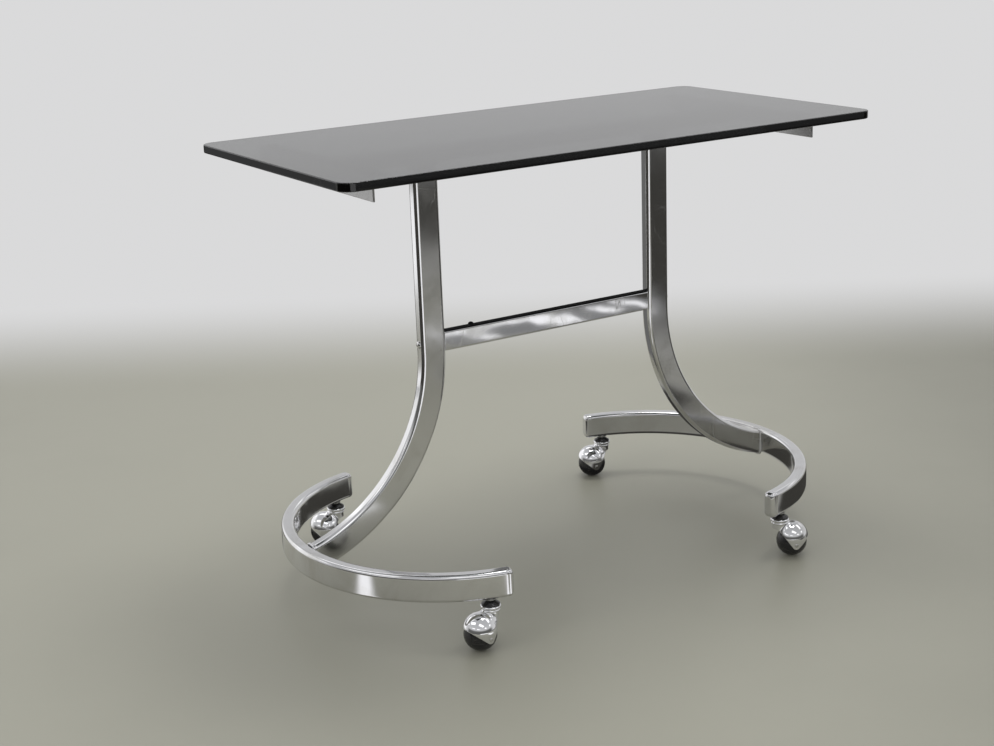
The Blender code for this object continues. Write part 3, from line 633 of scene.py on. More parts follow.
# %% Geometry Nodes: weld seam
def make_weld_seam():
    inputs = {"Path": "Geometry", "Seam Radius": "Float", "Ripple Pitch": "Float"}
    inputs.update({"Ripple Share": "Float", "Spacing": "Float", "Finish": "Material"})
    tree, given = new_group("weld_seam", "GeometryNodeTree", inputs, {"Seam": "Geometry"})
    path = add_node(tree, "GeometryNodeMeshToCurve", {"Mesh": given["Path"]})
    spaced = {"Curve": path.outputs["Curve"], "Length": given["Spacing"]}
    even = add_node(tree, "GeometryNodeResampleCurve", spaced, mode="LENGTH")
    along = add_node(tree, "GeometryNodeSplineParameter").outputs["Length"]
    turns = calculate(tree, "DIVIDE", along, given["Ripple Pitch"])
    swing = calculate(tree, "SINE", calculate(tree, "MULTIPLY", turns, math.tau))
    swell = calculate(tree, "ADD", calculate(tree, "MULTIPLY", swing, given["Ripple Share"]), 1.0)
    ring = add_node(tree, "GeometryNodeCurvePrimitiveCircle", {"Resolution": 10, "Radius": given["Seam Radius"]})
    sweep = {"Curve": even.outputs["Curve"], "Profile Curve": ring.outputs["Curve"], "Scale": swell}
    seam = add_node(tree, "GeometryNodeCurveToMesh", sweep)
    return end_tree(tree, "Seam", seam.outputs["Mesh"], given["Finish"])


weld_seam = make_weld_seam()

# %% [markdown]
# The leg's foot is cut at a slant, so its outline is taller than the tube by the sine of the bend. The other two
# outlines are the tube's own, at the leg's top and at the rail's end.

# %% Weld seams
SEAM = {"Ripple Pitch": 0.0021, "Ripple Share": 0.10, "Spacing": 0.0007, "Finish": tube_chrome}
FOOT_SEAM, TOP_SEAM = 0.0022, 0.0012
foot_start, _, foot_middle = bend_place(BEND_ANGLE)
foot_height = foot_middle - (FOOT_X - foot_start) * math.tan(math.pi / 2 - BEND_ANGLE)
foot_outline = rounded_rectangle(TUBE_NARROW, TUBE_WIDE / math.sin(BEND_ANGLE), TUBE_CORNER)
tube_outline = rounded_rectangle(TUBE_WIDE, TUBE_NARROW, TUBE_CORNER)
seam_paths = (
    ([(FOOT_X, y, foot_height + z) for y, z in foot_outline], FOOT_SEAM),
    ([(LEG_X + x, y, LEG_TOP) for x, y in tube_outline], TOP_SEAM),
    ([(RAIL_HALF, y, RAIL_HEIGHT + z) for y, z in tube_outline], TOP_SEAM),
)
seams = [run_tree(weld_seam, path, {**SEAM, "Seam Radius": size}, closed=True) for path, size in seam_paths]
add_on_both_sides("weld_seams", joined(*seams), tube_chrome)

# %% [markdown]
# ## Cross supports
#
# Two steel angles carry the glass. A rolled angle has a round root and softened toes, so its outline is rounded before
# it is pushed along its length, and a small Bevel breaks the sawn ends.

# %% Cross supports
SUPPORT_HALF, ANGLE_SIDE, ANGLE_THICK = 0.169, 0.025, 0.003
SUPPORT_OUTER_X, SUPPORT_TOP = 0.3755, 0.6524
ROOT_RADIUS, TOE_RADIUS, HEEL_RADIUS = 0.0025, 0.0008, 0.0006
SAWN_EDGE = ("BEVEL", {"width": 0.0003, "segments": 2, "limit_method": "ANGLE", "angle_limit": math.radians(60.0)})


def rounded_outline(corners, steps=5):
    """A closed outline of (x, y, radius) corners, each replaced by an arc of its radius."""
    points = []
    for index, (x, y, radius) in enumerate(corners):
        corner = Vector((x, y))
        before = (Vector(corners[index - 1][:2]) - corner).normalized()
        after = (Vector(corners[(index + 1) % len(corners)][:2]) - corner).normalized()
        half = math.acos(max(-1.0, min(1.0, before.dot(after)))) / 2
        reach = radius / math.tan(half)
        centre = corner + (before + after).normalized() * (radius / math.sin(half))
        first = corner + before * reach - centre
        sweep = first.angle_signed(corner + after * reach - centre)
        for step in range(steps + 1):
            points.append(tuple(centre + Matrix.Rotation(-sweep * step / steps, 2) @ first))
    return points


angle_outline = rounded_outline(
    (
        (0.0, 0.0, HEEL_RADIUS),
        (-ANGLE_SIDE, 0.0, TOE_RADIUS),
        (-ANGLE_SIDE, -ANGLE_THICK, TOE_RADIUS),
        (-ANGLE_THICK, -ANGLE_THICK, ROOT_RADIUS),
        (-ANGLE_THICK, -ANGLE_SIDE, TOE_RADIUS),
        (0.0, -ANGLE_SIDE, TOE_RADIUS),
    )
)
support_ends = (-SUPPORT_HALF, SUPPORT_HALF)
support_rings = [[(SUPPORT_OUTER_X + x, y, SUPPORT_TOP + z) for x, z in angle_outline] for y in support_ends]
support_mesh = bake(lofted(support_rings), SAWN_EDGE, KEEP_FLAT)
add_on_both_sides("support_angle", support_mesh, support_chrome, "cross_support")

# %% [markdown]
# ## The glass sheet
#
# The sheet has round corners and a flat polished edge, whose two arrises are ground round so that nobody is cut. Rings
# of one outline, inset along a quarter circle at each arris, make it without any modifier, and the many rings give the
# arris its fine glint.

# %% Glass sheet
GLASS_LONG, GLASS_DEEP, GLASS_CORNER = 0.890, 0.450, 0.020
ARRIS, ARRIS_STEPS, GLASS_CORNER_STEPS = 0.0015, 8, 20
glass_rings = []
for centre, start in ((TABLE_TOP - GLASS_THICK + ARRIS, -math.pi / 2), (TABLE_TOP - ARRIS, 0.0)):
    for step in range(ARRIS_STEPS + 1):
        tilt = start + math.pi / 2 * step / ARRIS_STEPS
        inset = ARRIS * (1 - math.cos(tilt))
        long, deep = GLASS_LONG - 2 * inset, GLASS_DEEP - 2 * inset
        outline = rounded_rectangle(long, deep, GLASS_CORNER - inset, GLASS_CORNER_STEPS)
        glass_rings.append([(x, y, centre + ARRIS * math.sin(tilt)) for x, y in outline])
glass_mesh = bake(lofted(glass_rings), KEEP_FLAT)
add_piece("glass_sheet", glass_mesh, smoked_glass, "smoked_glass", "frame", "glass_top")
print("glass sheet:", triangles(glass_mesh), "triangles")

# %% [markdown]
# ## Turned pieces
#
# Pads, sleeves, stems, dust caps and ball wheels are turned about an axis: a profile is written as corners and spun.
# Where it touches the axis, merging doubles closes the pole. Then the normals are recalculated, because a spin can
# leave a shape inside out.

# %% Turned pieces: helpers
CORNERS = ("front_left", "front_right", "back_left", "back_right")
SAME_PLACE = 0.000002


def spun(profile, segments=48, closed=False):
    bm = bmesh.new()
    points = [bm.verts.new((radius, 0.0, height)) for radius, height in profile]
    pairs = list(zip(points, points[1:]))
    if closed:
        pairs.append((points[-1], points[0]))
    edges = [bm.edges.new(pair) for pair in pairs]
    about_z = {"cent": (0.0, 0.0, 0.0), "axis": (0.0, 0.0, 1.0), "angle": math.tau}
    bmesh.ops.spin(bm, geom=points + edges, steps=segments, use_merge=True, **about_z)
    bmesh.ops.remove_doubles(bm, verts=bm.verts, dist=SAME_PLACE)
    return from_bmesh(bm)


def turned(corners):
    """A closed ring-shaped profile of (radius, height, rounding) spun about Z."""
    return spun(rounded_outline(corners, steps=4), closed=True)


def plain_pin(radius, low, high):
    return spun([(0.0, high), (radius, high), (radius, low), (0.0, low)], 24)


def middle_of(node):
    low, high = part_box(node)
    return (low + high) / 2


stem_places = {corner: middle_of(f"{corner}_stem") for corner in CORNERS}
trails = {corner: middle_of(f"{corner}_ball_wheel") - stem_places[corner] for corner in CORNERS}
swivels = {corner: math.atan2(trail.y, trail.x) for corner, trail in trails.items()}
print("swivel angles:", {corner: round(math.degrees(angle), 1) for corner, angle in swivels.items()})

# %% [markdown]
# ## Pads under the glass
#
# Four thin rubber discs sit between the angles and the glass.

# %% Glass pads
PAD_RADIUS, PAD_THICK, PAD_CHAMFER = 0.009, 0.002, 0.0004
pad_upper = [(0.0, PAD_THICK), (PAD_RADIUS - PAD_CHAMFER, PAD_THICK), (PAD_RADIUS, PAD_THICK - PAD_CHAMFER)]
pad_mesh = spun(pad_upper + [(radius, PAD_THICK - height) for radius, height in reversed(pad_upper)])
for corner in CORNERS:
    low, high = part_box(f"{corner}_glass_pad")
    pad = moved(pad_mesh, Matrix.Translation(((low.x + high.x) / 2, (low.y + high.y) / 2, low.z)))
    add_piece(f"{corner}_pad", pad, pad_rubber, "pad_rubber", "frame", f"{corner}_glass_pad")
print("pads: 4 of", triangles(pad_mesh), "triangles")

# %% [markdown]
# ## Caster stems, sleeves and dust caps
#
# Above each collar sits a low black cone that keeps dust out of the swivel. The bright stem shows for a few millimetres
# between the cone and the tube, and a sleeve with a thin flange lines the drilled tube.

# %% Caster fittings that stay with the frame
STEM_RADIUS, STEM_TIP, STEM_CHAMFER = 0.0045, 0.1067322, 0.0015
LEDGE, STEM_HEAD_RADIUS, STEM_HEAD_THICK = 0.0511322, 0.0075, 0.0022
FLANGE_RADIUS, FLANGE_LOW, FLANGE_HIGH, FLANGE_CHAMFER = 0.0099, 0.0625322, 0.0637322, 0.0003
CONE_LOW, CONE_HIGH, CONE_RIM, CONE_RIM_TALL, CONE_NOSE = 0.0622322, 0.0682, 0.0130, 0.0015, 0.0060
CONE_BORE, CONE_POCKET = 0.0048, 0.0102
SLEEVE_LOW, SLEEVE_TOP, SLEEVE_BORE, SLEEVE_RADIUS = 0.0702322, 0.1070322, 0.0048, 0.0060
SLEEVE_FLANGE, SLEEVE_FLANGE_THICK = 0.0080, 0.001


def add_at_casters(body, *rows):
    """Pieces at every caster, turned with the swivel unless they stay with the frame."""
    for corner in CORNERS:
        place = Matrix.Translation((stem_places[corner].x, stem_places[corner].y, 0.0))
        if body != "frame":
            place = place @ Matrix.Rotation(swivels[corner], 4, "Z")
        rides_on = body if body == "frame" else f"{corner}_{body}"
        for piece, mesh, finish, slot, node in rows:
            add_piece(f"{corner}_{piece}", moved(mesh, place), finish, slot, rides_on, f"{corner}_{node}")
    print({row[0]: triangles(row[1]) for row in rows}, "triangles each, on", body)


stem_profile = [
    (0.0, STEM_TIP),
    (STEM_RADIUS - STEM_CHAMFER, STEM_TIP),
    (STEM_RADIUS, STEM_TIP - STEM_CHAMFER),
    (STEM_RADIUS, FLANGE_HIGH),
    (FLANGE_RADIUS - FLANGE_CHAMFER, FLANGE_HIGH),
    (FLANGE_RADIUS, FLANGE_HIGH - FLANGE_CHAMFER),
    (FLANGE_RADIUS, FLANGE_LOW + FLANGE_CHAMFER),
    (FLANGE_RADIUS - FLANGE_CHAMFER, FLANGE_LOW),
    (STEM_RADIUS, FLANGE_LOW),
    (STEM_RADIUS, LEDGE),
    (STEM_HEAD_RADIUS, LEDGE),
    (STEM_HEAD_RADIUS, LEDGE - STEM_HEAD_THICK),
    (0.0, LEDGE - STEM_HEAD_THICK),
]
cone_corners = (
    (CONE_BORE, CONE_HIGH, 0.0003),
    (CONE_NOSE, CONE_HIGH, 0.0003),
    (CONE_RIM, CONE_LOW + CONE_RIM_TALL, 0.0005),
    (CONE_RIM, CONE_LOW, 0.0003),
    (CONE_POCKET, CONE_LOW, 0.0002),
    (CONE_POCKET, FLANGE_HIGH + SEAT, 0.0002),
    (CONE_BORE, FLANGE_HIGH + SEAT, 0.0002),
)
sleeve_corners = (
    (SLEEVE_BORE, SLEEVE_TOP, 0.0002),
    (SLEEVE_RADIUS, SLEEVE_TOP, 0.0002),
    (SLEEVE_RADIUS, SLEEVE_LOW + SLEEVE_FLANGE_THICK, 0.0001),
    (SLEEVE_FLANGE, SLEEVE_LOW + SLEEVE_FLANGE_THICK, 0.0002),
    (SLEEVE_FLANGE, SLEEVE_LOW, 0.0003),
    (SLEEVE_BORE, SLEEVE_LOW, 0.0002),
)
add_at_casters(
    "frame",
    ("stem_pin", spun(stem_profile), zinc_plate, "zinc_steel", "stem"),
    ("dust_cone", turned(cone_corners), wheel_plastic, "black_plastic", "dust_cap"),
    ("sleeve", turned(sleeve_corners), zinc_plate, "zinc_steel", "socket"),
)

# %% [markdown]
# ## Caster hoods
#
# The hood is the hardest shape here: a domed cover with two rounded ears, which grows into a neck with a stepped
# collar, all in one chromed casting with soft edges. Booleans would leave creases that a mirror finish shows at once,
# so the shape is written as a rule, a distance to its surface: positive outside, negative inside. Minimum joins two
# forms, maximum cuts one from another, and a rounded minimum or maximum leaves a fillet.

# %% Hood: distance to its surface
TRAIL, AXLE_HEIGHT, COLLAR_TOP = 0.0193, 0.0231522, 0.0619322
DOME_RADIUS, CAVITY_RADIUS, DOME_HEIGHT = 0.02575, 0.02455, 0.0286522
NECK_RADIUS, COLLAR_RADIUS, COLLAR_LOWER_RADIUS, GROOVE_RADIUS = 0.0114, 0.0147, 0.0134, 0.0126
COLLAR_EDGE, COLLAR_GROOVE, COLLAR_LOWER_EDGE, NECK_SKIRT = 0.0042, 0.0013, 0.0028, 0.0080
EAR_RADIUS, EAR_TRAIL_SLOPE, EAR_STEM_SLOPE = 0.0065, math.radians(40.0), math.radians(54.3)
BORE_RADIUS, HEAD_POCKET_RADIUS, POCKET_TOP, AXLE_HOLE_RADIUS = 0.0048, 0.0078, 0.0514322, 0.0023
RACE_INNER, RACE_OUTER, RACE_DEPTH = 0.0060, 0.0102, 0.0025
CASTING_FILLET, EDGE_ROUND, RIM_FILLET, RING_FILLET, CUT_ROUND, LAP = 0.0080, 0.0006, 0.002, 0.0005, 0.0004, 0.001
groove_top = COLLAR_TOP - COLLAR_EDGE
groove_low = groove_top - COLLAR_GROOVE
collar_low = groove_low - COLLAR_LOWER_EDGE


def soft_min(a, b, size):
    overlap = np.maximum(size - np.abs(a - b), 0.0) / size
    return np.minimum(a, b) - overlap * overlap * size / 4


def soft_max(a, b, size):
    return -soft_min(-a, -b, size)


def disc(radial, height, radius, low, high):
    """Distance to an upright cylinder between two heights, with rounded edges."""
    return soft_max(radial - radius, np.maximum(low - height, height - high), EDGE_ROUND)


def bead(radial, height, radius, low, high):
    """Distance to a ring with a half-round edge between two heights."""
    half = (high - low) / 2
    return np.hypot(np.maximum(radial - radius + half, 0.0), height - (low + high) / 2) - half


def below_rim(x, z):
    """Distance below the rim, which rises from an ear round the axle to the neck and to the trailing side."""
    along_trail = np.array((math.cos(EAR_TRAIL_SLOPE), math.sin(EAR_TRAIL_SLOPE)))
    along_stem = np.array((-math.cos(EAR_STEM_SLOPE), math.sin(EAR_STEM_SLOPE)))
    off = np.stack((x - TRAIL, z - AXLE_HEIGHT), axis=-1)
    past_trail = off @ np.array((along_trail[1], -along_trail[0]))
    past_stem = off @ np.array((-along_stem[1], along_stem[0]))
    in_ear = (off @ along_trail < 0) & (off @ along_stem < 0)
    below = np.where(in_ear, np.linalg.norm(off, axis=-1), np.maximum(past_trail, past_stem)) - EAR_RADIUS
    return np.where(x < TRAIL, soft_min(below, collar_low - NECK_SKIRT - z, RIM_FILLET), below)


def hood_distance(points):
    x, y, z = points.T
    radial = np.hypot(x, y)
    from_ball = np.hypot(np.hypot(x - TRAIL, y), np.maximum(z - DOME_HEIGHT, 0.0))
    neck = disc(radial, z, NECK_RADIUS, DOME_HEIGHT, COLLAR_TOP - LAP)
    lower = bead(radial, z, COLLAR_LOWER_RADIUS, collar_low, groove_low)
    waist = disc(radial, z, GROOVE_RADIUS, groove_low - LAP, groove_top + LAP)
    upper = bead(radial, z, COLLAR_RADIUS, groove_top, COLLAR_TOP)
    body = soft_min(from_ball - DOME_RADIUS, neck, CASTING_FILLET)
    for ring in (lower, waist, upper):
        body = soft_min(body, ring, RING_FILLET)
    body = soft_max(body, CAVITY_RADIUS - from_ball, CUT_ROUND)
    body = soft_max(body, below_rim(x, z), EDGE_ROUND)
    pocket = np.maximum(radial - HEAD_POCKET_RADIUS, z - POCKET_TOP)
    race = np.maximum(np.maximum(RACE_INNER - radial, radial - RACE_OUTER), COLLAR_TOP - RACE_DEPTH - z)
    axle_hole = np.hypot(x - TRAIL, z - AXLE_HEIGHT) - AXLE_HOLE_RADIUS
    for hollow in (radial - BORE_RADIUS, pocket, race, axle_hole):
        body = soft_max(body, -hollow, CUT_ROUND)
    return body


room = hood_distance(np.array([[TRAIL, 0.0, DOME_HEIGHT]]))[0]
print("from the middle of the dome to its inside:", round(1000 * room, 2), "mm")

# %% [markdown]
# The mesh comes from a grid of small cubes. A cube whose corners lie partly inside gets one point, and wherever two
# neighbouring grid points lie on different sides, the four cubes around them share a face. That net is closed but
# stepped, so each point slides along the slope of the distance onto the surface, and the slope becomes its normal. The
# mirror is then as smooth as the rule, whatever the mesh.

# %% Hood: mesh
GRID_STEP, SLIDE_ROUNDS, PROBE = 0.00052, 8, 0.00001
GRID_LOW, GRID_HIGH = (-0.0165, -0.0275, 0.0145), (0.0470, 0.0275, 0.0637)
LONGEST_SLIDE, LEAST_STEEP, LEAST_SLOPE = 0.0004, 0.25, 0.000001


def slope_of(points):
    """Gradient of the distance, by looking a hair to each side."""
    ways = np.eye(3) * PROBE
    return np.stack([hood_distance(points + way) - hood_distance(points - way) for way in ways], axis=1) / (2 * PROBE)


def hood_net():
    """A closed net of quads around the grid points that lie inside the hood."""
    lines = [np.arange(low, high, GRID_STEP) for low, high in zip(GRID_LOW, GRID_HIGH)]
    grid = np.stack(np.meshgrid(*lines, indexing="ij"), axis=-1)
    inside = (hood_distance(grid.reshape(-1, 3)) < 0).reshape(grid.shape[:3])
    near, far = slice(None, -1), slice(1, None)
    count = sum(inside[corner] * 1 for corner in product((near, far), repeat=3))
    crossed = (count > 0) & (count < 8)
    number = np.cumsum(crossed.ravel()).reshape(crossed.shape) - 1
    quads = []
    for axes in ((0, 1, 2), (1, 2, 0), (2, 0, 1)):
        side, cube = inside.transpose(axes), number.transpose(axes)
        change = side[1:, 1:-1, 1:-1] * 1 - side[:-1, 1:-1, 1:-1]
        i, j, k = np.nonzero(change)
        around = np.stack((cube[i, j, k], cube[i, j + 1, k], cube[i, j + 1, k + 1], cube[i, j, k + 1]), axis=1)
        around[change[i, j, k] > 0] = around[change[i, j, k] > 0][:, ::-1]
        quads.append(around)
    return grid[near, near, near][crossed] + GRID_STEP / 2, np.concatenate(quads)


def slid(points):
    """The points after they have slid onto the surface."""
    for _ in range(SLIDE_ROUNDS):
        slope = slope_of(points)
        steep = np.maximum((slope**2).sum(axis=1), LEAST_STEEP)
        points = points - np.clip(hood_distance(points) / steep, -LONGEST_SLIDE, LONGEST_SLIDE)[:, None] * slope
    return points


net_points, net_quads = hood_net()
hood_points = slid(net_points)
hood_slopes = slope_of(hood_points)
hood_mesh = bpy.data.meshes.new("hood")
hood_mesh.from_pydata(hood_points.tolist(), [], net_quads.tolist())
hood_mesh.shade_smooth()
steepness = np.maximum(np.linalg.norm(hood_slopes, axis=1), LEAST_SLOPE)
hood_mesh.normals_split_custom_set_from_vertices(hood_slopes / steepness[:, None])
print("points lie within", round(1e6 * np.abs(hood_distance(hood_points)).max(), 1), "micrometres of the rule")
add_at_casters("swivel", ("hood_casting", hood_mesh, caster_chrome, "chrome", "hood"))

# %% [markdown]
# ## Ball wheels
#
# Each wheel is a black plastic ball, slightly flattened where it faces the ears, with a small hub on each side. Its
# tread radius is the height of the axle, so it just touches the floor. It is turned about Z and then laid along the
# axle.

# %% Ball wheels
BALL_HALF_WIDTH, BALL_SIDE, BALL_STEPS, BALL_SEGMENTS = 0.0240, 0.0229265, 40, 64
HUB_FACE, HUB_RADIUS, HUB_CHAMFER, WHEEL_BORE = 0.0235265, 0.0045, 0.0002, 0.0023
ALONG_AXLE = Matrix.Translation((TRAIL, 0.0, AXLE_HEIGHT)) @ Matrix.Rotation(math.pi / 2, 4, "X")


def ball_wheel():
    top = math.asin(BALL_SIDE / BALL_HALF_WIDTH)
    hub = [(WHEEL_BORE, HUB_FACE), (HUB_RADIUS - HUB_CHAMFER, HUB_FACE)]
    hub += [(HUB_RADIUS, HUB_FACE - HUB_CHAMFER), (HUB_RADIUS, BALL_SIDE)]
    tilts = [top * (1 - 2 * step / BALL_STEPS) for step in range(BALL_STEPS + 1)]
    tread = [(AXLE_HEIGHT * math.cos(tilt), BALL_HALF_WIDTH * math.sin(tilt)) for tilt in tilts]
    other_hub = [(radius, -height) for radius, height in reversed(hub)]
    return spun(hub + tread + other_hub, BALL_SEGMENTS, closed=True)


wheel_mesh = moved(ball_wheel(), ALONG_AXLE)
add_at_casters("wheel", ("ball", wheel_mesh, wheel_plastic, "black_plastic", "ball_wheel"))

# %% [markdown]
# ## Rivets and bolts
#
# Small heads repeat: two rivet heads on every axle, a domed bolt head on each leg, one head on the strip. A tree puts
# a flattened ball on each given point and turns it the way that the point's attribute says.


# %% Geometry Nodes: domed heads
def make_domed_heads():
    inputs = {"Places": "Geometry", "Head Radius": "Float", "Head Height": "Float", "Finish": "Material"}
    tree, given = new_group("domed_heads", "GeometryNodeTree", inputs, {"Heads": "Geometry"})
    ball = add_node(tree, "GeometryNodeMeshUVSphere", {"Segments": 32, "Rings": 16, "Radius": 1.0})
    sizes = {"X": given["Head Radius"], "Y": given["Head Radius"], "Z": given["Head Height"]}
    shape = add_node(tree, "ShaderNodeCombineXYZ", sizes)
    head = add_node(tree, "GeometryNodeTransform", {"Geometry": ball.outputs["Mesh"], "Scale": shape.outputs[0]})
    facing = add_node(tree, "GeometryNodeInputNamedAttribute", {"Name": "facing"}, data_type="FLOAT_VECTOR")
    way = next(s for s in facing.outputs if s.enabled and s.name == "Attribute")
    turn = add_node(tree, "FunctionNodeAlignRotationToVector", {"Vector": way}, axis="Z")
    places = {"Points": given["Places"], "Instance": head.outputs[0], "Rotation": turn.outputs[0]}
    heads = add_node(tree, "GeometryNodeInstanceOnPoints", places)
    return end_tree(tree, "Heads", heads.outputs[0], given["Finish"])


def heads_at(places, facings, radius, height, finish):
    sizes = {"Head Radius": radius, "Head Height": height, "Finish": finish}
    return run_tree(domed_heads, places, sizes, facings=facings)


domed_heads = make_domed_heads()

# %% [markdown]
# A pin runs through each ball with a rivet head at both ends, and a bolt through each leg ends in a shank that the
# crossbar's plug takes.

# %% Riveted pins and bolts
PIN_RADIUS, RIVET_RADIUS, RIVET_HEIGHT, EAR_FACE = 0.0020, 0.0028, 0.0009, 0.02575
BOLT_RADIUS, BOLT_HEAD_RADIUS, BOLT_HEAD_HEIGHT, BOLT_GRIP = 0.003, 0.0055, 0.0033, 0.012
rivet_ways = [(0.0, -1.0, 0.0), (0.0, 1.0, 0.0)]
rivet_places = [(TRAIL, way * EAR_FACE, AXLE_HEIGHT) for way in (-1, 1)]
rivets = heads_at(rivet_places, rivet_ways, RIVET_RADIUS, RIVET_HEIGHT, zinc_plate)
pin = moved(plain_pin(PIN_RADIUS, -EAR_FACE, EAR_FACE), ALONG_AXLE)
add_at_casters("swivel", ("riveted_pin", joined(rivets, pin), zinc_plate, "zinc_steel", "axle"))
bolt_place = (LEG_X + TUBE_WIDE / 2, 0.0, BAR_HEIGHT)
bolt_head = heads_at([bolt_place], [(1.0, 0.0, 0.0)], BOLT_HEAD_RADIUS, BOLT_HEAD_HEIGHT, tube_chrome)
shank = plain_pin(BOLT_RADIUS, -TUBE_WIDE - SEAT - BOLT_GRIP, 0.0)
shank.transform(Matrix.Translation(bolt_place) @ Matrix.Rotation(math.pi / 2, 4, "Y"))
add_on_both_sides("domed_bolt", joined(bolt_head, shank), tube_chrome, "crossbar_bolt")

# %% [markdown]
# ## The strip on the crossbar
#
# A matt black strip is pressed over the crossbar's upper edge, and one round head holds it near its left end. Its
# section follows the tube: the tube's own outline, a little larger, is cut off below the rounded corners, and the same
# outline without the strip's thickness closes it on the inside.

# %% Crossbar strip
STRIP_THICK, STRIP_CLEAR, STRIP_DROP, STRIP_HALF = 0.0005, 0.0001, 0.0016, 0.1840
STRIP_HEAD_PLACE, STRIP_HEAD_RADIUS, STRIP_HEAD_HEIGHT = (-0.134, 0.0035), 0.0042, 0.0032


def over_the_top(grow):
    """The part of the crossbar's outline, grown outward, that lies above the strip's lower edge."""
    outline = rounded_rectangle(BAR_DEEP + 2 * grow, BAR_TALL + 2 * grow, BAR_CORNER + grow)
    upper = [(y, z) for y, z in outline if z > BAR_TALL / 2 - STRIP_DROP]
    return sorted(upper, reverse=True)


strip_section = over_the_top(STRIP_CLEAR + STRIP_THICK) + over_the_top(STRIP_CLEAR)[::-1]
strip_ends = [[(x, y, BAR_HEIGHT + z) for y, z in strip_section] for x in (-STRIP_HALF, STRIP_HALF)]
strip_place = (*STRIP_HEAD_PLACE, BAR_HEIGHT + BAR_TALL / 2 + STRIP_CLEAR + STRIP_THICK)
strip_head = heads_at([strip_place], [(0.0, 0.0, 1.0)], STRIP_HEAD_RADIUS, STRIP_HEAD_HEIGHT, strip_rubber)
strip_mesh = joined(bake(lofted(strip_ends), KEEP_FLAT), strip_head)
add_piece("crossbar_strip", strip_mesh, strip_rubber, "black_plastic", "frame")
print("crossbar strip:", triangles(strip_mesh), "triangles")

# %% [markdown]
# ## Fittings that keep their CAD shape
#
# The bearing rings inside the collars and the plugs inside the crossbar never show, and their CAD shape is right. They
# only get the zinc finish, through their own material slots.

# %% CAD nodes that stay
kept = [f"{corner}_bearing" for corner in CORNERS] + [f"{side}_crossbar_plug" for side in SIDES]
for name in kept:
    for material_slot in frame["nodes"][name].material_slots:
        material_slot.material = zinc_plate
print("kept CAD nodes:", kept)

# %% [markdown]
# ## Floor and backdrop
#
# A mirror finish is only as good as its surroundings. The floor is a wide plain disc, a warm grey near the table,
# which turns to the tone of a pale wall behind it. Near the table a painted shade darkens it towards the right. The
# pale part shows its own light to the camera, in mirrors and through glass, and the part around the table is lit, so
# it keeps the table's shadow.
#
# Photographers lay white and black cards around chrome to draw its edges. Here soft fans and rectangles painted on the
# floor do it: painted reflections, in which the floor glows for mirrors only. Fans are measured by their bearing from
# the left leg, with zero to the front, because all the points that one upright face mirrors lie on one bearing. Dark
# fans paint dark reflections on the tops of the legs, bright lanes paint the highlight lines along their corners, and
# a dull strip with white cards paints the crossbar's highlight patches.

# %% Floor: where the cards lie
# Fans of painted reflection: bearing from and to, feather, the distances between which they fade in,
# and where they end.
DARK_FANS = (
    (-124, -15, 5, 0.75, 1.25, 9.0),
    (26, 42, 4, 1.55, 2.9, 9.0),
    (42, 90, 5, 0.90, 1.75, 9.0),
    (-190, -156, 3, 0.55, 0.85, 9.0),
)
WHITE_FANS = ((-27, 6, 3, 0.55, 0.85, 9.0), (-153, -128, 3, 1.30, 2.20, 3.3))
FAN_FADE = 0.15
# Rectangles of painted reflection, the dark ones painting shade into the chrome: middle, half sizes, feather.
DARK_CARDS = (
    ((-0.07, 0.16), (0.05, 0.09), 0.06),
    ((0.34, 0.20), (0.13, 0.09), 0.06),
    ((-0.22, 0.29), (0.13, 0.045), 0.05),
    ((0.52, -0.72), (0.14, 0.26), 0.06),
    ((0.54, -0.14), (0.09, 0.17), 0.05),
)
DULL_CARDS = (
    ((0.790, -1.18), (0.300, 0.080), 0.025),
    ((1.90, -4.10), (2.40, 0.60), 0.12),
    ((-2.16, 3.73), (0.09, 0.75), 0.04),
)
WHITE_CARDS = (
    ((-0.612, -0.125), (0.12, 0.014), 0.035),
    ((-0.18, -0.46), (0.030, 0.10), 0.035),
    ((0.572, -1.17), (0.012, 0.075), 0.014),
    ((0.805, -1.19), (0.040, 0.080), 0.016),
    ((0.959, -1.18), (0.014, 0.060), 0.014),
    ((1.040, -1.18), (0.012, 0.080), 0.014),
    ((0.640, -1.275), (0.150, 0.020), 0.022),
)


def soft_fan(tree, bearing, distance, first, last, feather, near, far, end):
    """One between two bearings in degrees, fading in with the distance and out at its end."""
    first, last, feather = (math.radians(angle) for angle in (first, last, feather))
    sides = rise(tree, bearing, first - feather, first), fall(tree, bearing, last, last + feather)
    reach = rise(tree, distance, near, far), fall(tree, distance, end, end + FAN_FADE)
    return calculate(tree, "MULTIPLY", *sides, *reach)


def soft_card(tree, axes, middle, half, feather):
    """One inside a rectangle on the floor, falling to zero across its feathered edge."""
    sides = zip("XY", middle, half)
    masks = [fall(tree, off_by(tree, axes[axis], centre), size, size + feather) for axis, centre, size in sides]
    return calculate(tree, "MULTIPLY", *masks)


def painted_reflection_shares(tree, where):
    """How much of a dark, a dull and a white painted reflection lies at each place on the floor."""
    axes = axes_of(tree, where)
    sideways = calculate(tree, "ADD", axes["X"], LEG_X)
    forward = calculate(tree, "MULTIPLY", axes["Y"], -1.0)
    bearing = calculate(tree, "ARCTAN2", sideways, forward)
    squares = [calculate(tree, "MULTIPLY", part, part) for part in (sideways, forward)]
    distance = calculate(tree, "SQRT", calculate(tree, "ADD", *squares))
    for fans, cards in ((DARK_FANS, DARK_CARDS), ((), DULL_CARDS), (WHITE_FANS, WHITE_CARDS)):
        masks = [soft_fan(tree, bearing, distance, *fan) for fan in fans]
        yield calculate(tree, "MAXIMUM", *masks, *(soft_card(tree, axes, *card) for card in cards))


print("cards:", len(DARK_CARDS), "dark", len(DULL_CARDS), "dull", len(WHITE_CARDS), "white")
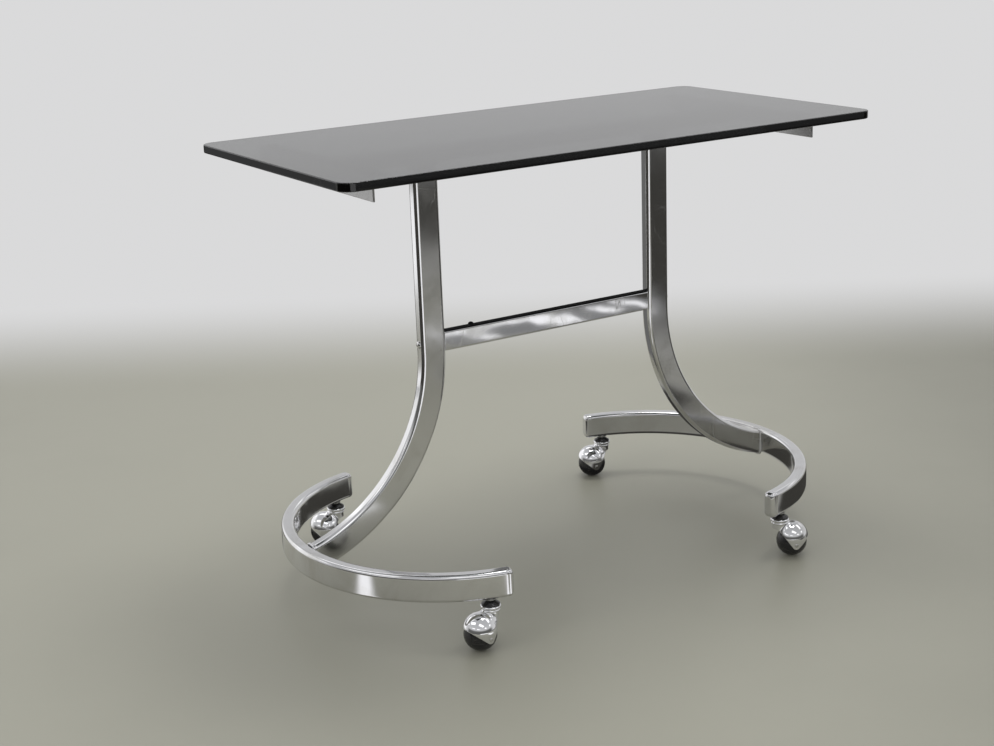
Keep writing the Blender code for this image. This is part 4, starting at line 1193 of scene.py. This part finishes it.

# %% [markdown]
# The floor's finish mixes two shaders. Where the wall's tone or a painted reflection shows, and for the rays that may
# see it, the floor glows in that colour. Everywhere else it is an ordinary lit surface.

# %% Floor
BACK_WAY, SIDE_WAY = (0.527, 0.850, 0.0), (0.850, -0.527, 0.0)
# The floor's colour darkens from the left towards the right: a painted shade.
FLOOR_COLOUR, FLOOR_PAINTED_SHADE, WALL_COLOUR = (0.405, 0.398, 0.325), (0.265, 0.260, 0.210), (0.700, 0.700, 0.705)
# Colours of the painted reflections on the floor: dark shade, dull patches and white highlights, seen by mirrors only.
PAINTED_DARK_REFLECTION, PAINTED_HIGHLIGHT, PAINTED_DULL_REFLECTION = (0.050, 0.048, 0.043), (1.20, 1.20, 1.22), (0.24, 0.243, 0.246)
WALL_SPAN, EDGE_SPAN, SHADE_SPAN, MOTTLE = (0.95, 1.75), (3.0, 5.5), (0.1, 1.1), 0.35
FLOOR_RADIUS, FLOOR_DROP = 9.0, 0.0002


def glowing(tree, colour):
    return add_node(tree, "ShaderNodeEmission", {"Color": colour, "Strength": 1.0}).outputs[0]


def make_floor_finish():
    material, tree, where = new_finish("studio_floor", {"Roughness": 0.42, "Metallic": 0.0})
    away = add_node(tree, "ShaderNodeVectorMath", {0: where}, operation="LENGTH").outputs["Value"]
    wall = rise(tree, reach_along(tree, where, BACK_WAY), *WALL_SPAN)
    pale = calculate(tree, "MAXIMUM", wall, rise(tree, away, *EDGE_SPAN))
    mottle = calculate(tree, "SUBTRACT", noise(tree, where, 3.0, 6.0, roughness=0.6), 0.5)
    spots = calculate(tree, "MULTIPLY", mottle, MOTTLE)
    # Darker towards the right: a painted shade, with the floor's own random mottle added.
    shade = calculate(tree, "ADD", rise(tree, reach_along(tree, where, SIDE_WAY), *SHADE_SPAN), spots)
    feed(tree, {"Base Color": blend(tree, shade, FLOOR_COLOUR, FLOOR_PAINTED_SHADE)})
    ray = add_node(tree, "ShaderNodeLightPath").outputs
    mirrored = ray["Is Glossy Ray"]
    direct = calculate(tree, "MAXIMUM", ray["Is Camera Ray"], mirrored, ray["Is Transmission Ray"])
    # Painted reflections: the floor glows in dark, dull and white patches for mirrors only.
    shares = [calculate(tree, "MULTIPLY", share, mirrored) for share in painted_reflection_shares(tree, where)]
    colour = WALL_COLOUR
    for share, card in zip(shares, (PAINTED_DARK_REFLECTION, PAINTED_DULL_REFLECTION, PAINTED_HIGHLIGHT)):
        colour = blend(tree, share, colour, card)
    shown = calculate(tree, "MULTIPLY", calculate(tree, "MAXIMUM", pale, *shares), direct)
    lit = tree.nodes["Principled BSDF"].outputs[0]
    mixed = add_node(tree, "ShaderNodeMixShader", {0: shown, 1: lit, 2: glowing(tree, colour)})
    tree.links.new(mixed.outputs[0], tree.nodes["Material Output"].inputs["Surface"])
    return material


floor_disc = bmesh.new()
bmesh.ops.create_circle(floor_disc, cap_ends=True, segments=96, radius=FLOOR_RADIUS)
floor_mesh = moved(from_bmesh(floor_disc), Matrix.Translation((0.0, 0.0, -FLOOR_DROP)))
floor_mesh.materials.append(make_floor_finish())
floor = link_object("floor", floor_mesh)
print("floor:", [round(side, 1) for side in floor.dimensions], "m")

# %% [markdown]
# One more card stands upright behind the crossbar, a painted reflection: it glows grey, only mirrors see it, and it
# stands where the inner side of the right leg would otherwise show the white lane that is meant for the left one.

# %% Upright card
CARD_LEFT, CARD_RIGHT, CARD_BACK, CARD_LOW, CARD_HIGH = -0.02, 0.13, 0.15, 0.12, 0.62
# The card's grey glow is a painted reflection, seen by mirrors only.
CARD_REFLECTION_COLOUR = (0.17, 0.17, 0.168, 1.0)
card_mesh = bpy.data.meshes.new("grey_reflection_card")
card_sides = ((CARD_LEFT, CARD_LOW), (CARD_RIGHT, CARD_LOW), (CARD_RIGHT, CARD_HIGH), (CARD_LEFT, CARD_HIGH))
card_mesh.from_pydata([(x, CARD_BACK, z) for x, z in card_sides], [], [(0, 1, 2, 3)])
card_finish, card_tree, _ = new_finish("grey_reflection_card", {})
card_tree.links.new(glowing(card_tree, CARD_REFLECTION_COLOUR), card_tree.nodes["Material Output"].inputs["Surface"])
card_mesh.materials.append(card_finish)
card = link_object("grey_reflection_card", card_mesh)
card.visible_camera = card.visible_diffuse = card.visible_transmission = card.visible_shadow = False
print("card:", [round(side, 2) for side in card.dimensions], "m")

# %% [markdown]
# ## Light
#
# Mirrors see more of the room than the camera does. Around an even pale surround they find a darker band low in front,
# as in any real room, which draws the dark lines along the round edges of the tube, a white wall behind on the left,
# which runs down the outside of the legs, and rows of lamps on the ceiling, which give the caster hoods their many
# small lights.

# %% Surround
HORIZON_COLOUR, OVERHEAD_COLOUR, DARK_ROOM_COLOUR = (0.70, 0.70, 0.705), (0.52, 0.525, 0.54), (0.13, 0.13, 0.125)
BRIGHT_SIDE_COLOUR, LAMP_COLOUR = (1.15, 1.15, 1.16), (1.6, 1.6, 1.62)
SKY_SPAN, FRONT_SPAN, FRONT_HEIGHTS = (0.05, 0.8), (0.10, -0.35), (0.20, 0.38)
LEFT_SPAN, LEFT_HEIGHTS, BACK_SPAN = (-0.35, -0.60), (0.50, 0.75), (0.10, 0.35)
LAMP_ROWS = (((math.cos(0.5), math.sin(0.5), 0.0), 0.30), ((-0.5, 0.87, 0.0), 0.62))  # way across, width
LAMP_PITCH, LAMP_FEATHER, LAMP_HEIGHTS, LEAST_HEIGHT = 1.25, 0.03, (0.35, 0.50), 0.05


def lamp_rows(tree, way, height):
    """One on rows of lamps on a flat ceiling, by where a ray in this direction would meet it."""
    safe = calculate(tree, "MAXIMUM", height, LEAST_HEIGHT)
    masks = [rise(tree, height, *LAMP_HEIGHTS)]
    for across, wide in LAMP_ROWS:
        turns = calculate(tree, "DIVIDE", reach_along(tree, way, across), safe, LAMP_PITCH)
        off_middle = off_by(tree, calculate(tree, "FRACT", turns), 0.5)
        masks.append(fall(tree, off_middle, wide / 2 - LAMP_FEATHER, wide / 2 + LAMP_FEATHER))
    return masks


def make_surround():
    world = bpy.data.worlds.new("soft_surround")
    world.use_nodes = True
    tree = world.node_tree
    way = add_node(tree, "ShaderNodeTexCoord").outputs["Generated"]
    height = axes_of(tree, way)["Z"]
    behind, rightward = reach_along(tree, way, BACK_WAY), reach_along(tree, way, SIDE_WAY)
    mirrored = add_node(tree, "ShaderNodeLightPath").outputs["Is Glossy Ray"]
    low_front = rise(tree, behind, *FRONT_SPAN), fall(tree, height, *FRONT_HEIGHTS)
    back_left = rise(tree, rightward, *LEFT_SPAN), fall(tree, height, *LEFT_HEIGHTS), rise(tree, behind, *BACK_SPAN)
    colour = blend(tree, rise(tree, height, *SKY_SPAN), HORIZON_COLOUR, OVERHEAD_COLOUR)
    layers = ((low_front, DARK_ROOM_COLOUR), (back_left, BRIGHT_SIDE_COLOUR))
    for masks, layer in (*layers, (lamp_rows(tree, way, height), LAMP_COLOUR)):
        colour = blend(tree, calculate(tree, "MULTIPLY", *masks, mirrored), colour, layer)
    put(tree, tree.nodes["Background"].inputs["Color"], colour)
    put(tree, tree.nodes["Background"].inputs["Strength"], 1.0)
    return world


bpy.context.scene.world = make_surround()
print("surround:", bpy.context.scene.world.name)

# %% [markdown]
# Four soft panels do the lighting: one overhead, which throws the table's shadow, a tall one at the left, a wide one
# behind the camera and a small one at the right. Only the overhead panel shows in mirrors, because the hard edge of a
# lamp across the glass would draw the eye.

# %% Soft panels
# Name, place, height of the aim, width and height, brightness where 1 is white, and whether mirrors show it.
PANELS = (
    ("overhead_panel", (0.35, 0.2, 2.7), 0.0, (1.5, 0.9), 6.0, True),
    ("left_window", (-3.7, -0.25, 1.55), 0.2, (0.8, 1.3), 4.0, False),
    ("front_panel", (-1.3, -4.6, 1.9), 0.3, (2.4, 1.2), 1.6, False),
    ("right_panel", (3.3, 0.4, 1.7), 0.3, (1.0, 1.2), 1.6, False),
)
for name, place, aim, (width, height), brightness, mirrored in PANELS:
    lamp = bpy.data.lights.new(name, "AREA")
    lamp.shape = "RECTANGLE"
    lamp.size, lamp.size_y = width, height
    lamp.energy = math.pi * width * height * brightness
    panel = link_object(name, lamp)
    panel.location = place
    panel.rotation_euler = (Vector((0.0, 0.0, aim)) - Vector(place)).to_track_quat("-Z", "Y").to_euler()
    panel.visible_camera = False
    panel.visible_glossy = mirrored
    print("panel:", name)

# %% [markdown]
# ## Camera
#
# The camera stands where the photograph's corners and stems say it stood: a little above the top and to the left. Its
# axes come from a heading, a downward pitch and a slight roll, and the lens from the focal length in pixels of the 994
# pixel wide frame.

# %% Camera
CAMERA_PLACE, HEADING, PITCH, ROLL = (-1.3539, -2.0255, 1.0178), 31.884, -16.583, -2.138
FOCAL_PIXELS, FRAME_PIXELS, SENSOR = 1660.0, 994.0, 36.0
LEVEL = 90.0  # a camera without any turn looks straight down
lens = bpy.data.cameras.new("camera")
lens.sensor_width = SENSOR
lens.lens = SENSOR * FOCAL_PIXELS / FRAME_PIXELS
lens.clip_start, lens.clip_end = 0.05, 60.0
camera = link_object("camera", lens)
turns = Matrix.Identity(4)
for angle, axis in ((-HEADING, "Z"), (LEVEL + PITCH, "X"), (ROLL, "Z")):
    turns = turns @ Matrix.Rotation(math.radians(angle), 4, axis)
camera.matrix_world = Matrix.Translation(CAMERA_PLACE) @ turns
bpy.context.scene.camera = camera
bpy.context.scene.view_settings.view_transform = "Standard"
print("lens:", round(lens.lens, 2), "mm")
